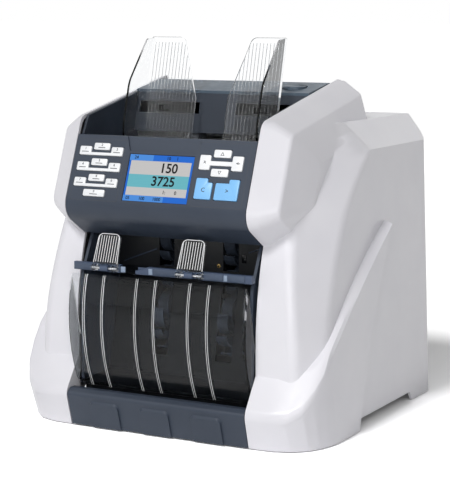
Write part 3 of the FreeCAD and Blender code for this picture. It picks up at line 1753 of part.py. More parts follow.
def drive_motor():
    place = "motor_y", "motor_z"
    deep = "frame_inner - motor_length/2"
    barrel = rod("motor_can", *place, "motor_radius", "frame_inner - motor_length", "motor_length")
    hole = rod("motor_hole", *place, "motor_shaft + run_gap", deep, "motor_length")
    keep(cut("drive_motor", barrel, hole), "drive_motor")
    steps = [(f"{deep} + part_gap", track(0), "motor_shaft"), (track(0), track_end(0), "motor_pulley")]
    keep(turned("motor_pulley", steps, *place), "motor_pulley")


def belt_loop(first, second, growth):
    """Side-view loop round two pulleys: two straight runs and two arcs, standing off the pulleys."""
    (a, ra), (b, rb) = first, second
    ra, rb = ra + growth, rb + growth
    along = (b - a).normalize()
    across = Vector(0, -along.z, along.y)
    lean = (ra - rb) / a.distanceToPoint(b)
    square = math.sqrt(1 - lean * lean)
    up = along * lean + across * square
    down = along * lean - across * square
    sides = [Part.makeLine(a + up * ra, b + up * rb)]
    sides.append(Part.Arc(b + up * rb, b + along * rb, b + down * rb).toShape())
    sides.append(Part.makeLine(b + down * rb, a + down * ra))
    sides.append(Part.Arc(a + down * ra, a - along * ra, a + up * ra).toShape())
    return Part.Face(Part.Wire(sides))


def belt(index, first, second):
    """A flat belt on one track between two shafts."""
    x = number(track(index))
    ends = []
    for shaft in (first, second):
        place = Vector(x, number(f"{shaft}_y"), number(f"{shaft}_z"))
        ends.append((place, number(f"{shaft}_pulley")))
    outer = belt_loop(*ends, size.belt_gap + size.belt_thick)
    ring = outer.cut(belt_loop(*ends, size.belt_gap))
    loop = document.addObject("Part::Feature", "belt")
    loop.Shape = ring.extrude(Vector(size.track_width, 0, 0))
    return loop


def drive_belts():
    runs = [
        (0, "motor", "drum"),
        (1, "drum", "feed"),
        (2, "drum", "stacker"),
        (2, "feed", "pick"),
        (3, "stacker", "reject"),
    ]
    group("drive_belts", [belt(*run) for run in runs])


def sensor_bars():
    plan = "-frame_inner", "frame_inner", "drum_y - sensor_depth/2", "drum_y + sensor_depth/2"
    reach = "(drum_radius + chute_gap + sheet + sensor_gap)"
    upper = block("sensor_bar", *plan, f"drum_z + {reach}", f"drum_z + {reach} + sensor_height")
    lower = block("sensor_bar", *plan, f"drum_z - {reach} - sensor_height", f"drum_z - {reach}")
    group("sensor_bars", [upper, lower])


def chute_arc(start, end):
    """A curved plate that follows the drum between two angles of the side view."""
    inner = size.drum_radius + size.chute_gap
    outer = inner + size.sheet
    middle = (start + end) / 2
    sides = [Part.Arc(*(polar(outer, a) for a in (start, middle, end))).toShape()]
    sides.append(Part.makeLine(polar(outer, end), polar(inner, end)))
    sides.append(Part.Arc(*(polar(inner, a) for a in (end, middle, start))).toShape())
    sides.append(Part.makeLine(polar(inner, start), polar(outer, start)))
    plate = document.addObject("Part::Feature", "drum_chute")
    plate.Shape = Part.Face(Part.Wire(sides)).extrude(Vector(2 * size.frame_inner, 0, 0))
    plate.setExpression("Placement.Base.x", bind("-frame_inner"))
    plate.setExpression("Placement.Base.y", bind("drum_y"))
    plate.setExpression("Placement.Base.z", bind("drum_z"))
    return plate


def note_chutes():
    """Plates that lead the note: two round the drum and one over the reject pocket."""
    front, rear = ("ceiling_front", "ceiling_front_z"), ("ceiling_rear", "ceiling_rear_z")
    outline = [front, rear, (rear[0], f"{rear[1]} - sheet"), (front[0], f"{front[1]} - sheet")]
    ceiling = prism("pocket_ceiling", outline, *full_width(CHEEK_INNER))
    upper = chute_arc(size.chute_upper_start, size.chute_upper_end)
    lower = chute_arc(size.chute_lower_start, size.chute_lower_end)
    group("note_chutes", [ceiling, upper, lower])


# Pockets


def pocket_cheeks():
    outline = [
        ("cheek_front", "cheek_low"),
        ("cheek_front", "cheek_knee_z"),
        ("cheek_top_y", "cheek_top_z"),
        ("cheek_rear", "cheek_top_z + cheek_rear_rise"),
        ("cheek_rear", "cheek_low"),
    ]
    rounds = [("cheek_front", "cheek_knee_z", "cheek_round")]
    cheek = prism("cheek_right", outline, CHEEK_INNER, f"frame_inner - {CHEEK_INNER}", rounds)
    bore(cheek, "door_pin_y", "door_pin_z", "pin_radius", f"{CHEEK_INNER} - cut_past", "frame_inner")
    other = document.addObject("Part::Mirroring", "cheek_left")
    other.Source = cheek
    other.Normal = Vector(1, 0, 0)
    document.recompute()
    group("pocket_cheeks", [cheek, other])


def stacker_plate():
    """Bent plate under and behind the counted stack, slotted for the stacking wheels."""
    low = "stack_floor_z"
    outline = [
        ("stack_front", low),
        ("stack_rear", f"{low} + stack_rise"),
        ("stack_top_y", "stack_top_z"),
        ("stack_top_y + sheet", "stack_top_z"),
        ("stack_rear + stack_bend", f"{low} + stack_rise - sheet"),
        ("stack_front", f"{low} - sheet"),
    ]
    body = prism("stacker_plate", outline, *full_width(CHEEK_INNER))
    slots = wheel_slots("impeller_x", "impeller_width/2")
    add_slots(body, slots, "stacker_z - stacker_radius", "stacker_z + stacker_radius + slot_side")
    keep(body, "stacker_plate")


STOPS = {"reject_stop_left": "stop_left_x", "reject_stop_right": "stop_right_x"}


def reject_tray():
    """Upper pocket: a lip with a finger dip and hinge blocks, a sloping floor, a slotted back wall."""
    lip = [
        ("lip_front", "lip_low"),
        ("lip_front", "lip_top"),
        ("lip_front + lip_flat", "lip_top"),
        ("lip_rear", "lip_top - lip_drop"),
        ("lip_rear", "lip_low"),
    ]
    body = prism("reject_tray", lip, *full_width(COVER_HALF))
    floor = [
        ("lip_rear - join", "lip_top - lip_drop"),
        ("tray_rear", "tray_rear_z"),
        ("tray_back_y", "tray_rear_z + tray_back_rise"),
        ("tray_back_y", "tray_back_z"),
        ("tray_back_y + tray_thick", "tray_back_z"),
        ("tray_back_y + tray_thick", "tray_rear_z + tray_under_rise"),
        ("tray_rear + join", "tray_rear_z - tray_thick"),
        ("lip_rear - join", "lip_low"),
    ]
    add_prism(body, floor, *full_width(CHEEK_INNER))
    dip = new_sketch(body, "XZ_Plane", "-lip_front + cut_past")
    add_circle(dip, "dip_x", "lip_top - dip_depth + dip_radius", "dip_radius")
    pocket(body, dip, "lip_rear - lip_front + cut_past - dip_wall")
    slots = wheel_slots("impeller_x", "impeller_width/2")
    add_slots(body, slots, "tray_rear_z + tray_slot_rise", "tray_back_z + cut_past")
    for middle in STOPS.values():
        start, length = f"{middle} - stop_block_half", "2*stop_block_half"
        low, top = "stop_pin_z - stop_web_half", "stop_pin_z + stop_web_half"
        add_prism(body, rectangle("stop_pin_y", low, "lip_front + join", top), start, length)
        add_barrel(body, "stop_pin_y", "stop_pin_z", "stop_knuckle", start, length)
        hole = f"{start} - cut_past", f"{length} + 2*cut_past"
        bore(body, "stop_pin_y", "stop_pin_z", "stop_pin_radius", *hole)
    keep(body, "reject_tray")


def reject_stops():
    """Clear flaps that stop the rejected notes; each leans back on two knuckles."""
    for label, middle in STOPS.items():
        body = new_body(label)
        face = new_sketch(body, "XZ_Plane", tilt="-stop_lean", base=("stop_pin_z", "-stop_pin_y"))
        clear = "(stop_knuckle + stop_clear)"
        outline = [
            (f"{middle} - stop_half_low", "0"),
            (f"{middle} - stop_knuckle_in", "0"),
            (f"{middle} - stop_knuckle_in", clear),
            (f"{middle} + stop_knuckle_in", clear),
            (f"{middle} + stop_knuckle_in", "0"),
            (f"{middle} + stop_half_low", "0"),
            (f"{middle} + stop_half_top", "stop_height"),
            (f"{middle} - stop_half_top", "stop_height"),
        ]
        add_outline(face, outline)
        pad(body, face, "stop_thick", middle=True)
        corners = [f"{middle} - stop_half_top", f"{middle} + stop_half_top"]
        tops = [leaning(x, "stop_height", "stop_pin", "stop_lean") for x in corners]
        round_edges(body, tops, "stop_corner")
        width = "(stop_half_low - stop_knuckle_in)"
        for start in (f"{middle} + stop_knuckle_in", f"{middle} - stop_half_low"):
            add_barrel(body, "stop_pin_y", "stop_pin_z", "stop_knuckle", start, width)
        hole = "stop_pin_radius + run_gap"
        bore(body, "stop_pin_y", "stop_pin_z", hole, f"{middle} - 2*stop_half_low", "4*stop_half_low")
        keep(body, label)


def door_points():
    """Low, middle and top points of the door's outer curve in the side view."""
    low = Vector(0, size.door_low_y, size.door_low_z)
    middle = Vector(0, size.door_mid_y, size.door_mid_z)
    return low, middle, Vector(0, size.door_top_y, size.door_top_z)


def door_arc(inset, spread=0.0):
    """The door's curve moved inside its outer face, and carried past both ends by an angle."""
    points = door_points()
    curve = Part.Arc(*points).toShape().Curve
    moved = []
    for point, turn in zip(points, (spread, 0.0, -spread)):
        arm = (point - curve.Center) * ((curve.Radius - inset) / curve.Radius)
        moved.append(curve.Center + Rotation(Vector(1, 0, 0), turn).multVec(arm))
    return moved


def closed_face(arc, corners):
    """A side-view face bounded by an arc and then straight lines through corners back to its start."""
    sides = [Part.Arc(*arc).toShape()]
    places = [arc[2], *corners, arc[0]]
    for a, b in zip(places, places[1:]):
        sides.append(Part.makeLine(a, b))
    return Part.Face(Part.Wire(sides))


def door_rib():
    """Side view of one upright rib on the outside of the door."""
    outer, inner = door_arc(-size.door_rib), door_arc(size.door_wall / 2)
    sides = [Part.Arc(*outer).toShape(), Part.makeLine(outer[2], inner[2])]
    sides += [Part.Arc(*inner[::-1]).toShape(), Part.makeLine(inner[0], outer[0])]
    return Part.Face(Part.Wire(sides))


def door_block():
    """Side view of the door with its wings: the curve in front, a hinge eye low at the rear."""
    d = size
    places = [
        (d.wing_rear - d.wing_slope, d.door_mid_z - d.wing_drop),
        (d.wing_rear, d.door_pin_z + d.eye_rise),
        (d.wing_rear, d.door_pin_z - d.eye_drop),
        (d.door_low_y + d.wing_toe, d.door_low_z),
    ]
    return closed_face(door_points(), [Vector(0, y, z) for y, z in places])


def door_hollow():
    """Side view of the room behind the door's wall."""
    arc = door_arc(size.door_wall, size.door_spread)
    rear = size.wing_rear + size.hollow_past
    return closed_face(arc, [Vector(0, rear, arc[2].z), Vector(0, rear, arc[0].z)])


def across(face, start, length):
    """A side-view face carried across the machine."""
    solid = face.extrude(Vector(length, 0, 0))
    solid.translate(Vector(start, 0, 0))
    return solid


def curved_block(face, half, radius):
    """A side-view face carried between two sides, with its curved front rounded into both."""
    solid = across(face, -half, 2 * half)
    rim = []
    for edge in solid.Edges:
        if edge.Curve.TypeId == "Part::GeomCircle":
            rim.append(edge)
    return solid.makeFillet(radius, rim)


def corner_waste(side):
    """What a rounded lower corner of the door leaves out, in front of the hinge eye."""
    r, depth, past = size.door_corner, size.door_corner_depth, size.cut_past
    front = size.door_pin_y - size.eye_front - depth
    inner, low = size.door_half - r, size.door_low_z
    box = Part.makeBox(r + past, depth, r + past, Vector(inner, front, low - past))
    round_bar = Part.makeCylinder(r, depth, Vector(inner, front, low + r), Vector(0, 1, 0))
    waste = box.cut(round_bar)
    return waste if side > 0 else waste.mirror(Vector(), Vector(1, 0, 0))


def stacker_door():
    """Clear curved front with rounded lower corners, upright ribs, and wings that carry its hinge eyes."""
    half, thick = size.door_half, size.wing_thick
    solid = curved_block(door_block(), half, size.door_edge_round)
    solid = solid.cut(across(door_hollow(), thick - half, 2 * (half - thick)))
    rib = door_rib()
    ribs = []
    for pair in range(int(size.door_rib_pairs)):
        for offset in (0, size.door_bay):
            middle = size.door_rib_first + pair * size.door_pitch + offset
            ribs.append(across(rib, middle - size.door_rib_width / 2, size.door_rib_width))
    solid = solid.multiFuse(ribs)
    solid = solid.cut(Part.makeCompound([corner_waste(1), corner_waste(-1)]))
    start = Vector(-half - size.cut_past, size.door_pin_y, size.door_pin_z)
    length = 2 * (half + size.cut_past)
    eye = Part.makeCylinder(size.pin_radius + size.run_gap, length, start, Vector(1, 0, 0))
    door = document.addObject("Part::Feature", "stacker_door")
    door.Shape = solid.cut(eye).removeSplitter()
    keep(door, "stacker_door")


def hinge_pins():
    """Plain pins of the door, the reject stops and the rear cover."""
    pins = []
    end = "(door_half + door_pin_past)"
    length = f"{end} - {CHEEK_INNER}"
    for start in (CHEEK_INNER, f"-{end}"):
        pins.append(rod("door_pin", "door_pin_y", "door_pin_z", "pin_radius", start, length))
    for middle in STOPS.values():
        start, length = f"{middle} - stop_pin_half", "2*stop_pin_half"
        pins.append(rod("stop_pin", "stop_pin_y", "stop_pin_z", "stop_pin_radius", start, length))
    grip = "(lid_half - lid_knuckle_half + lid_pin_grip - part_gap)"
    for start in (f"lid_half - {grip}", "-lid_half"):
        pins.append(rod("cover_pin", "lid_pin_y", "lid_pin_z", "pin_radius", start, grip))
    group("hinge_pins", pins)


# Electrics and fasteners


def main_board():
    """Circuit board on standoffs outside the left frame."""
    outer = f"-({FRAME_OUTER})"
    face = f"({outer} - board_stand)"
    edges = "circuit_front", "circuit_rear", "circuit_low", "circuit_top"
    pieces = [block("circuit_board", f"{face} - board_thick", face, *edges)]
    for y in ("circuit_front + standoff_in", "circuit_rear - standoff_in"):
        for z in ("circuit_low + standoff_in", "circuit_top - standoff_in"):
            pieces.append(rod("standoff", y, z, "standoff_radius", face, "board_stand"))
    group("main_board", pieces)


def power_supply():
    """Closed supply between the left frame and the left shell."""
    sides = f"-{BASE_HALF}", f"-({FRAME_OUTER} + supply_gap)", "supply_front", "supply_rear"
    keep(block("power_supply", *sides, FRAME_LOW, f"{FRAME_LOW} + supply_height"), "power_supply")


def panel_screws():
    """Round heads in the corners of the rear panel."""
    heads = []
    for x in ("screw_x", "-screw_x"):
        for z in (f"{FRAME_LOW} + screw_rise", "socket_top_z - screw_drop"):
            head = disc("screw_head", x, rear_y(f"{z} - screw_radius"), z, "screw_radius", "screw_head")
            head.Placement = Placement(head.Placement.Base, Rotation(Vector(1, 0, 0), -90))
            heads.append(head)
    group("panel_screws", heads)


def finish():
    """Check every object and write each sub-part to its own file."""
    document.recompute()
    for thing in document.Objects:
        if "Invalid" in thing.State or "Error" in thing.State:
            raise ValueError(f"{thing.Name}: {thing.State}")
    for node in NODES:
        if node.Shape.isNull() or not node.Shape.isValid():
            raise ValueError(f"{node.Label}: bad shape")
    os.makedirs("parts", exist_ok=True)
    for node in NODES:
        node.Shape.exportStep(f"parts/{node.Label}.step")
    print(len(NODES), "nodes")


base_plate()
rubber_feet()
side_frames()
tie_bars()
side_shells()
control_panel()
keys()
display_module()
keypad_boards()
front_plinth()
hopper_tray()
hopper_back()
guide_rod()
note_guides()
top_deck()
gap_knob()
rear_cover()
rear_panel()
rear_sockets()
power_switch()
rollers()
impeller_shaft("stacker_wheels", "stacker", size.stacker_radius, 2, 3)
impeller_shaft("reject_wheels", "reject", size.reject_radius, 3, 3)
diverter_gate()
drive_motor()
drive_belts()
sensor_bars()
note_chutes()
pocket_cheeks()
stacker_plate()
reject_tray()
reject_stops()
stacker_door()
hinge_pins()
main_board()
power_supply()
panel_screws()
finish()
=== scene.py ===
"""Dressed model of a desktop banknote counter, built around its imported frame."""
import logging
import math
from collections.abc import Sequence
from dataclasses import dataclass, field
from enum import Enum

import bmesh
import bpy
from mathutils import Matrix, Vector


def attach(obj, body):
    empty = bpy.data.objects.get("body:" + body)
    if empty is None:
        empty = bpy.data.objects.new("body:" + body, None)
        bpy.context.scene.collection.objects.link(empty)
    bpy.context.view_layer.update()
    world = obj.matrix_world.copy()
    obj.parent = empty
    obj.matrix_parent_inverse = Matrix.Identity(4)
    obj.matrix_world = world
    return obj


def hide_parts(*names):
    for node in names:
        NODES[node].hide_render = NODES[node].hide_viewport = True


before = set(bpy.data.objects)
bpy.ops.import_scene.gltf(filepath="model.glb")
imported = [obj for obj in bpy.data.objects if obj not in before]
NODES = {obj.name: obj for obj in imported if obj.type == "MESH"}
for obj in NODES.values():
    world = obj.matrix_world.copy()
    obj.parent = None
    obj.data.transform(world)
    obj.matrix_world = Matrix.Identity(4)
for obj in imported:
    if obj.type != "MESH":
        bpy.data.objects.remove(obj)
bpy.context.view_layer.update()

log = logging.getLogger("note_counter")

Tree = bpy.types.NodeTree
Node = bpy.types.Node
Socket = bpy.types.NodeSocket
Mesh = bpy.types.Mesh
Shape = bmesh.types.BMesh
Pair = tuple[float, float]
Triple = tuple[float, float, float]
Box = tuple[float, float, float, float]
Outline = list[Pair]

# Metres in a millimetre; sizes are in millimetres where nothing else is said
MM = 0.001
ROOT = "root"


def linear(code: str) -> tuple[float, float, float, float]:
    """Turn an sRGB hex colour into linear light.

    Args:
        code: Colour as "#RRGGBB".

    Returns:
        Linear red, green, blue and full alpha.
    """
    values = [int(code[i : i + 2], 16) / 255 for i in (1, 3, 5)]
    light = [v / 12.92 if v <= 0.04045 else ((v + 0.055) / 1.055) ** 2.4 for v in values]
    return light[0], light[1], light[2], 1.0


def per_mm(feature: float) -> float:
    """Texture scale at which one feature of a pattern measures so many millimetres."""
    return 1.0 / (feature * MM)


def add_node(tree: Tree, kind: str, inputs: dict | None = None, **settings: object) -> Node:
    """Add a node, set it up and link it.

    Args:
        tree: Tree that gets the node.
        kind: The node's type name.
        inputs: Input socket names or numbers with a value, or with a socket to link from.
        settings: Properties of the node itself.

    Returns:
        The new node.
    """
    node = tree.nodes.new(kind)
    for name, value in settings.items():
        setattr(node, name, value)
    for key, value in (inputs or {}).items():
        if isinstance(value, Socket):
            tree.links.new(value, node.inputs[key])
        else:
            node.inputs[key].default_value = value
    return node


# Finishes

# Noise values below and above these are rare
NOISE_LOW, NOISE_HIGH = 0.3, 0.7

# Blotches of tone and of gloss in a moulded face: size and detail of the noise
TONE_BLOTCH = (60.0, 2.0)
GLOSS_BLOTCH = (9.0, 4.0)
GLOSS_BELOW, GLOSS_ABOVE = 0.04, 0.05
GRAIN_DETAIL, GRAIN_STRENGTH = 3.0, 0.6
ABS_IOR = 1.53


def unevenness(tree: Tree, place: Socket, blotch: Pair, low: float, high: float) -> Socket:
    """Values that wander between two limits in blotches of a real size.

    Args:
        tree: The material's node tree.
        place: Coordinates in metres.
        blotch: Size of a blotch, and detail of the noise.
        low: Lowest value.
        high: Highest value.

    Returns:
        The socket of the values.
    """
    size, detail = blotch
    inputs = {"Vector": place, "Scale": per_mm(size), "Detail": detail}
    cloud = add_node(tree, "ShaderNodeTexNoise", inputs).outputs["Fac"]
    inputs = {"Value": cloud, "From Min": NOISE_LOW, "From Max": NOISE_HIGH, "To Min": low, "To Max": high}
    return add_node(tree, "ShaderNodeMapRange", inputs).outputs["Result"]


def grain_normal(tree: Tree, place: Socket, grain: Pair, strength: float, depth: float) -> Socket:
    """Normals of a grain in a surface.

    Args:
        tree: The material's node tree.
        place: Coordinates in metres.
        grain: Size of a grain, and detail of the noise.
        strength: How much of the grain shows.
        depth: Its depth.

    Returns:
        The socket of the normals.
    """
    size, detail = grain
    inputs = {"Vector": place, "Scale": per_mm(size), "Detail": detail}
    height = add_node(tree, "ShaderNodeTexNoise", inputs).outputs["Fac"]
    inputs = {"Height": height, "Strength": strength, "Distance": depth * MM}
    return add_node(tree, "ShaderNodeBump", inputs).outputs[0]


def moulded_gloss(tree: Tree, place: Socket, roughness: float) -> Socket:
    """Roughness of a moulded face, slightly uneven as the polish of its mould."""
    return unevenness(tree, place, GLOSS_BLOTCH, roughness - GLOSS_BELOW, roughness + GLOSS_ABOVE)


@dataclass(frozen=True)
class Finish:
    """A surface, named for what it is made of and how."""

    name: str

    def material(self) -> bpy.types.Material:
        """Make the material the first time, and find it again later.

        Returns:
            The material.
        """
        known = bpy.data.materials.get(self.name)
        if known:
            return known
        material = bpy.data.materials.new(self.name)
        material.use_nodes = True
        tree = material.node_tree
        tree.nodes.clear()
        place = add_node(tree, "ShaderNodeTexCoord").outputs["Object"]
        shader = add_node(tree, "ShaderNodeBsdfPrincipled", self.surface(tree, place))
        add_node(tree, "ShaderNodeOutputMaterial", {"Surface": shader.outputs[0]})
        return material

    def surface(self, tree: Tree, place: Socket) -> dict[str, object]:
        """Work out what the shader's sockets get; each kind of finish has its own way."""
        raise NotImplementedError


@dataclass(frozen=True)
class MouldedPlastic(Finish):
    """Injection moulded plastic: an even colour, a fine moulded grain and a slightly uneven gloss.

    The real grain is about 0.2 mm and too fine to show, so it is drawn as coarse as it needs to show.
    """

    colour: str
    shade_colour: str
    roughness: float
    grain: float
    depth: float
    coat: float = 0.0
    glint: float = 0.5

    def surface(self, tree: Tree, place: Socket) -> dict[str, object]:
        """Mix two close tones, an uneven gloss and a grain.

        Args:
            tree: The material's node tree.
            place: Object coordinates.

        Returns:
            A value or a link for each socket.
        """
        wander = unevenness(tree, place, TONE_BLOTCH, 0.0, 1.0)
        tones = {0: wander, 6: linear(self.colour), 7: linear(self.shade_colour)}
        return {
            "Base Color": add_node(tree, "ShaderNodeMix", tones, data_type="RGBA").outputs[2],
            "Roughness": moulded_gloss(tree, place, self.roughness),
            "Normal": grain_normal(tree, place, (self.grain, GRAIN_DETAIL), GRAIN_STRENGTH, self.depth),
            "Coat Weight": self.coat,
            "IOR": ABS_IOR,
            "Specular IOR Level": self.glint,
        }


@dataclass(frozen=True)
class TwoTonePlastic(Finish):
    """Moulded plastic with one tone on its front part and another behind it."""

    front: str
    rear: str
    split_y: float
    roughness: float
    grain: float = 0.7
    depth: float = 0.03

    def surface(self, tree: Tree, place: Socket) -> dict[str, object]:
        """Change the tone at a depth of the machine.

        Args:
            tree: The material's node tree.
            place: Object coordinates.

        Returns:
            A value or a link for each socket.
        """
        along = add_node(tree, "ShaderNodeSeparateXYZ", {0: place}).outputs["Y"]
        split = {0: along, 1: self.split_y * MM}
        behind = add_node(tree, "ShaderNodeMath", split, operation="GREATER_THAN").outputs[0]
        tones = {0: behind, 6: linear(self.front), 7: linear(self.rear)}
        return {
            "Base Color": add_node(tree, "ShaderNodeMix", tones, data_type="RGBA").outputs[2],
            "Roughness": moulded_gloss(tree, place, self.roughness),
            "Normal": grain_normal(tree, place, (self.grain, GRAIN_DETAIL), GRAIN_STRENGTH, self.depth),
        }


@dataclass(frozen=True)
class ClearPlastic(Finish):
    """Clear moulded plastic: smooth, with faint handling marks."""

    tint: str
    roughness: float
    clearness: float = 1.0
    ior: float = 1.45
    mark: Pair = (14.0, 4.0)
    mark_gloss: float = 0.05

    def surface(self, tree: Tree, place: Socket) -> dict[str, object]:
        """Let light through, with a gloss that handling has made uneven.

        Args:
            tree: The material's node tree.
            place: Object coordinates.

        Returns:
            A value or a link for each socket.
        """
        return {
            "Base Color": linear(self.tint),
            "Roughness": unevenness(tree, place, self.mark, self.roughness, self.roughness + self.mark_gloss),
            "Transmission Weight": self.clearness,
            "IOR": self.ior,
        }


@dataclass(frozen=True)
class Metal(Finish):
    """Bare metal with fine lines along one direction.

    The real lines are a few hundredths of a millimetre, so they are drawn as coarse as they need to show.
    """

    colour: str
    roughness: float
    squeeze: Triple = (1.0, 30.0, 30.0)
    line: Pair = (20.0, 3.0)
    gloss_below: float = 0.07
    gloss_above: float = 0.1
    strength: float = 0.3
    depth: float = 0.01

    def surface(self, tree: Tree, place: Socket) -> dict[str, object]:
        """Draw lines into the gloss and the surface.

        Args:
            tree: The material's node tree.
            place: Object coordinates.

        Returns:
            A value or a link for each socket.
        """
        drawn = add_node(tree, "ShaderNodeMapping", {"Vector": place, "Scale": self.squeeze}).outputs[0]
        smooth, rough = self.roughness - self.gloss_below, self.roughness + self.gloss_above
        return {
            "Base Color": linear(self.colour),
            "Metallic": 1.0,
            "Roughness": unevenness(tree, drawn, self.line, smooth, rough),
            "Normal": grain_normal(tree, drawn, self.line, self.strength, self.depth),
        }


@dataclass(frozen=True)
class TyredShaft(Finish):
    """Rubber tyres on a steel shaft: what lies near the axis is bright steel, the rest matt rubber."""

    axis: Pair
    shaft_radius: float
    rubber: str
    steel: str = "#B9BCC0"
    steel_roughness: float = 0.28
    rubber_roughness: float = 0.72
    grain: Pair = (0.8, 2.0)
    strength: float = 0.5
    depth: float = 0.03

    def surface(self, tree: Tree, place: Socket) -> dict[str, object]:
        """Change from steel to rubber at a distance from the axis.

        Args:
            tree: The material's node tree.
            place: Object coordinates.

        Returns:
            A value or a link for each socket.
        """
        centre = {0: place, 1: (0.0, self.axis[0] * MM, self.axis[1] * MM)}
        arm = add_node(tree, "ShaderNodeVectorMath", centre, operation="SUBTRACT").outputs[0]
        flatten = {0: arm, 1: (0.0, 1.0, 1.0)}
        flat = add_node(tree, "ShaderNodeVectorMath", flatten, operation="MULTIPLY").outputs[0]
        distance = add_node(tree, "ShaderNodeVectorMath", {0: flat}, operation="LENGTH").outputs["Value"]
        edge = {0: distance, 1: self.shaft_radius * MM}
        tyre = add_node(tree, "ShaderNodeMath", edge, operation="GREATER_THAN").outputs[0]
        tones = {0: tyre, 6: linear(self.steel), 7: linear(self.rubber)}
        gloss = {"Value": tyre, "To Min": self.steel_roughness, "To Max": self.rubber_roughness}
        return {
            "Base Color": add_node(tree, "ShaderNodeMix", tones, data_type="RGBA").outputs[2],
            "Metallic": add_node(tree, "ShaderNodeMath", {0: 1.0, 1: tyre}, operation="SUBTRACT").outputs[0],
            "Roughness": add_node(tree, "ShaderNodeMapRange", gloss).outputs["Result"],
            "Normal": grain_normal(tree, place, self.grain, self.strength, self.depth),
        }


@dataclass(frozen=True)
class Backlit(Finish):
    """A lit area of the display: an even glow crossed by a grid of picture cells.

    Real cells measure about 0.2 mm, so they are drawn as coarse as they need to show.
    """

    colour: str
    glow: float = 0.85
    cell: float = 0.5
    gap_share: float = 0.12
    unlit: str = "#05070A"
    roughness: float = 0.5
    glint: float = 0.15

    def surface(self, tree: Tree, place: Socket) -> dict[str, object]:
        """Let a grid of cells glow.

        Args:
            tree: The material's node tree.
            place: Object coordinates.

        Returns:
            A value or a link for each socket.
        """
        grid = {"Vector": place, "Scale": per_mm(self.cell), "Randomness": 0.0}
        cells = add_node(tree, "ShaderNodeTexVoronoi", grid, feature="F1").outputs["Distance"]
        gaps = {"Value": cells, "From Min": NOISE_LOW, "From Max": NOISE_HIGH, "To Max": self.gap_share}
        dark = add_node(tree, "ShaderNodeMapRange", gaps).outputs["Result"]
        tones = {0: dark, 6: linear(self.colour), 7: linear("#000000")}
        return {
            "Base Color": linear(self.unlit),
            "Roughness": self.roughness,
            "Specular IOR Level": self.glint,
            "Emission Color": add_node(tree, "ShaderNodeMix", tones, data_type="RGBA").outputs[2],
            "Emission Strength": self.glow,
        }


@dataclass(frozen=True)
class Board(Finish):
    """Green solder mask with a faint copper pattern under it."""

    mask: str = "#0E5A35"
    copper: str = "#2F8A55"
    track_pitch: float = 6.0
    track_share: float = 0.08
    roughness: float = 0.35

    def surface(self, tree: Tree, place: Socket) -> dict[str, object]:
        """Lay paler tracks on the green.

        Args:
            tree: The material's node tree.
            place: Object coordinates.

        Returns:
            A value or a link for each socket.
        """
        layout = {"Vector": place, "Scale": per_mm(self.track_pitch)}
        pattern = {"feature": "DISTANCE_TO_EDGE", "distance": "MANHATTAN"}
        cells = add_node(tree, "ShaderNodeTexVoronoi", layout, **pattern).outputs["Distance"]
        near = {0: cells, 1: self.track_share}
        track = add_node(tree, "ShaderNodeMath", near, operation="LESS_THAN").outputs[0]
        tones = {0: track, 6: linear(self.mask), 7: linear(self.copper)}
        colour = add_node(tree, "ShaderNodeMix", tones, data_type="RGBA").outputs[2]
        return {"Base Color": colour, "Roughness": self.roughness}


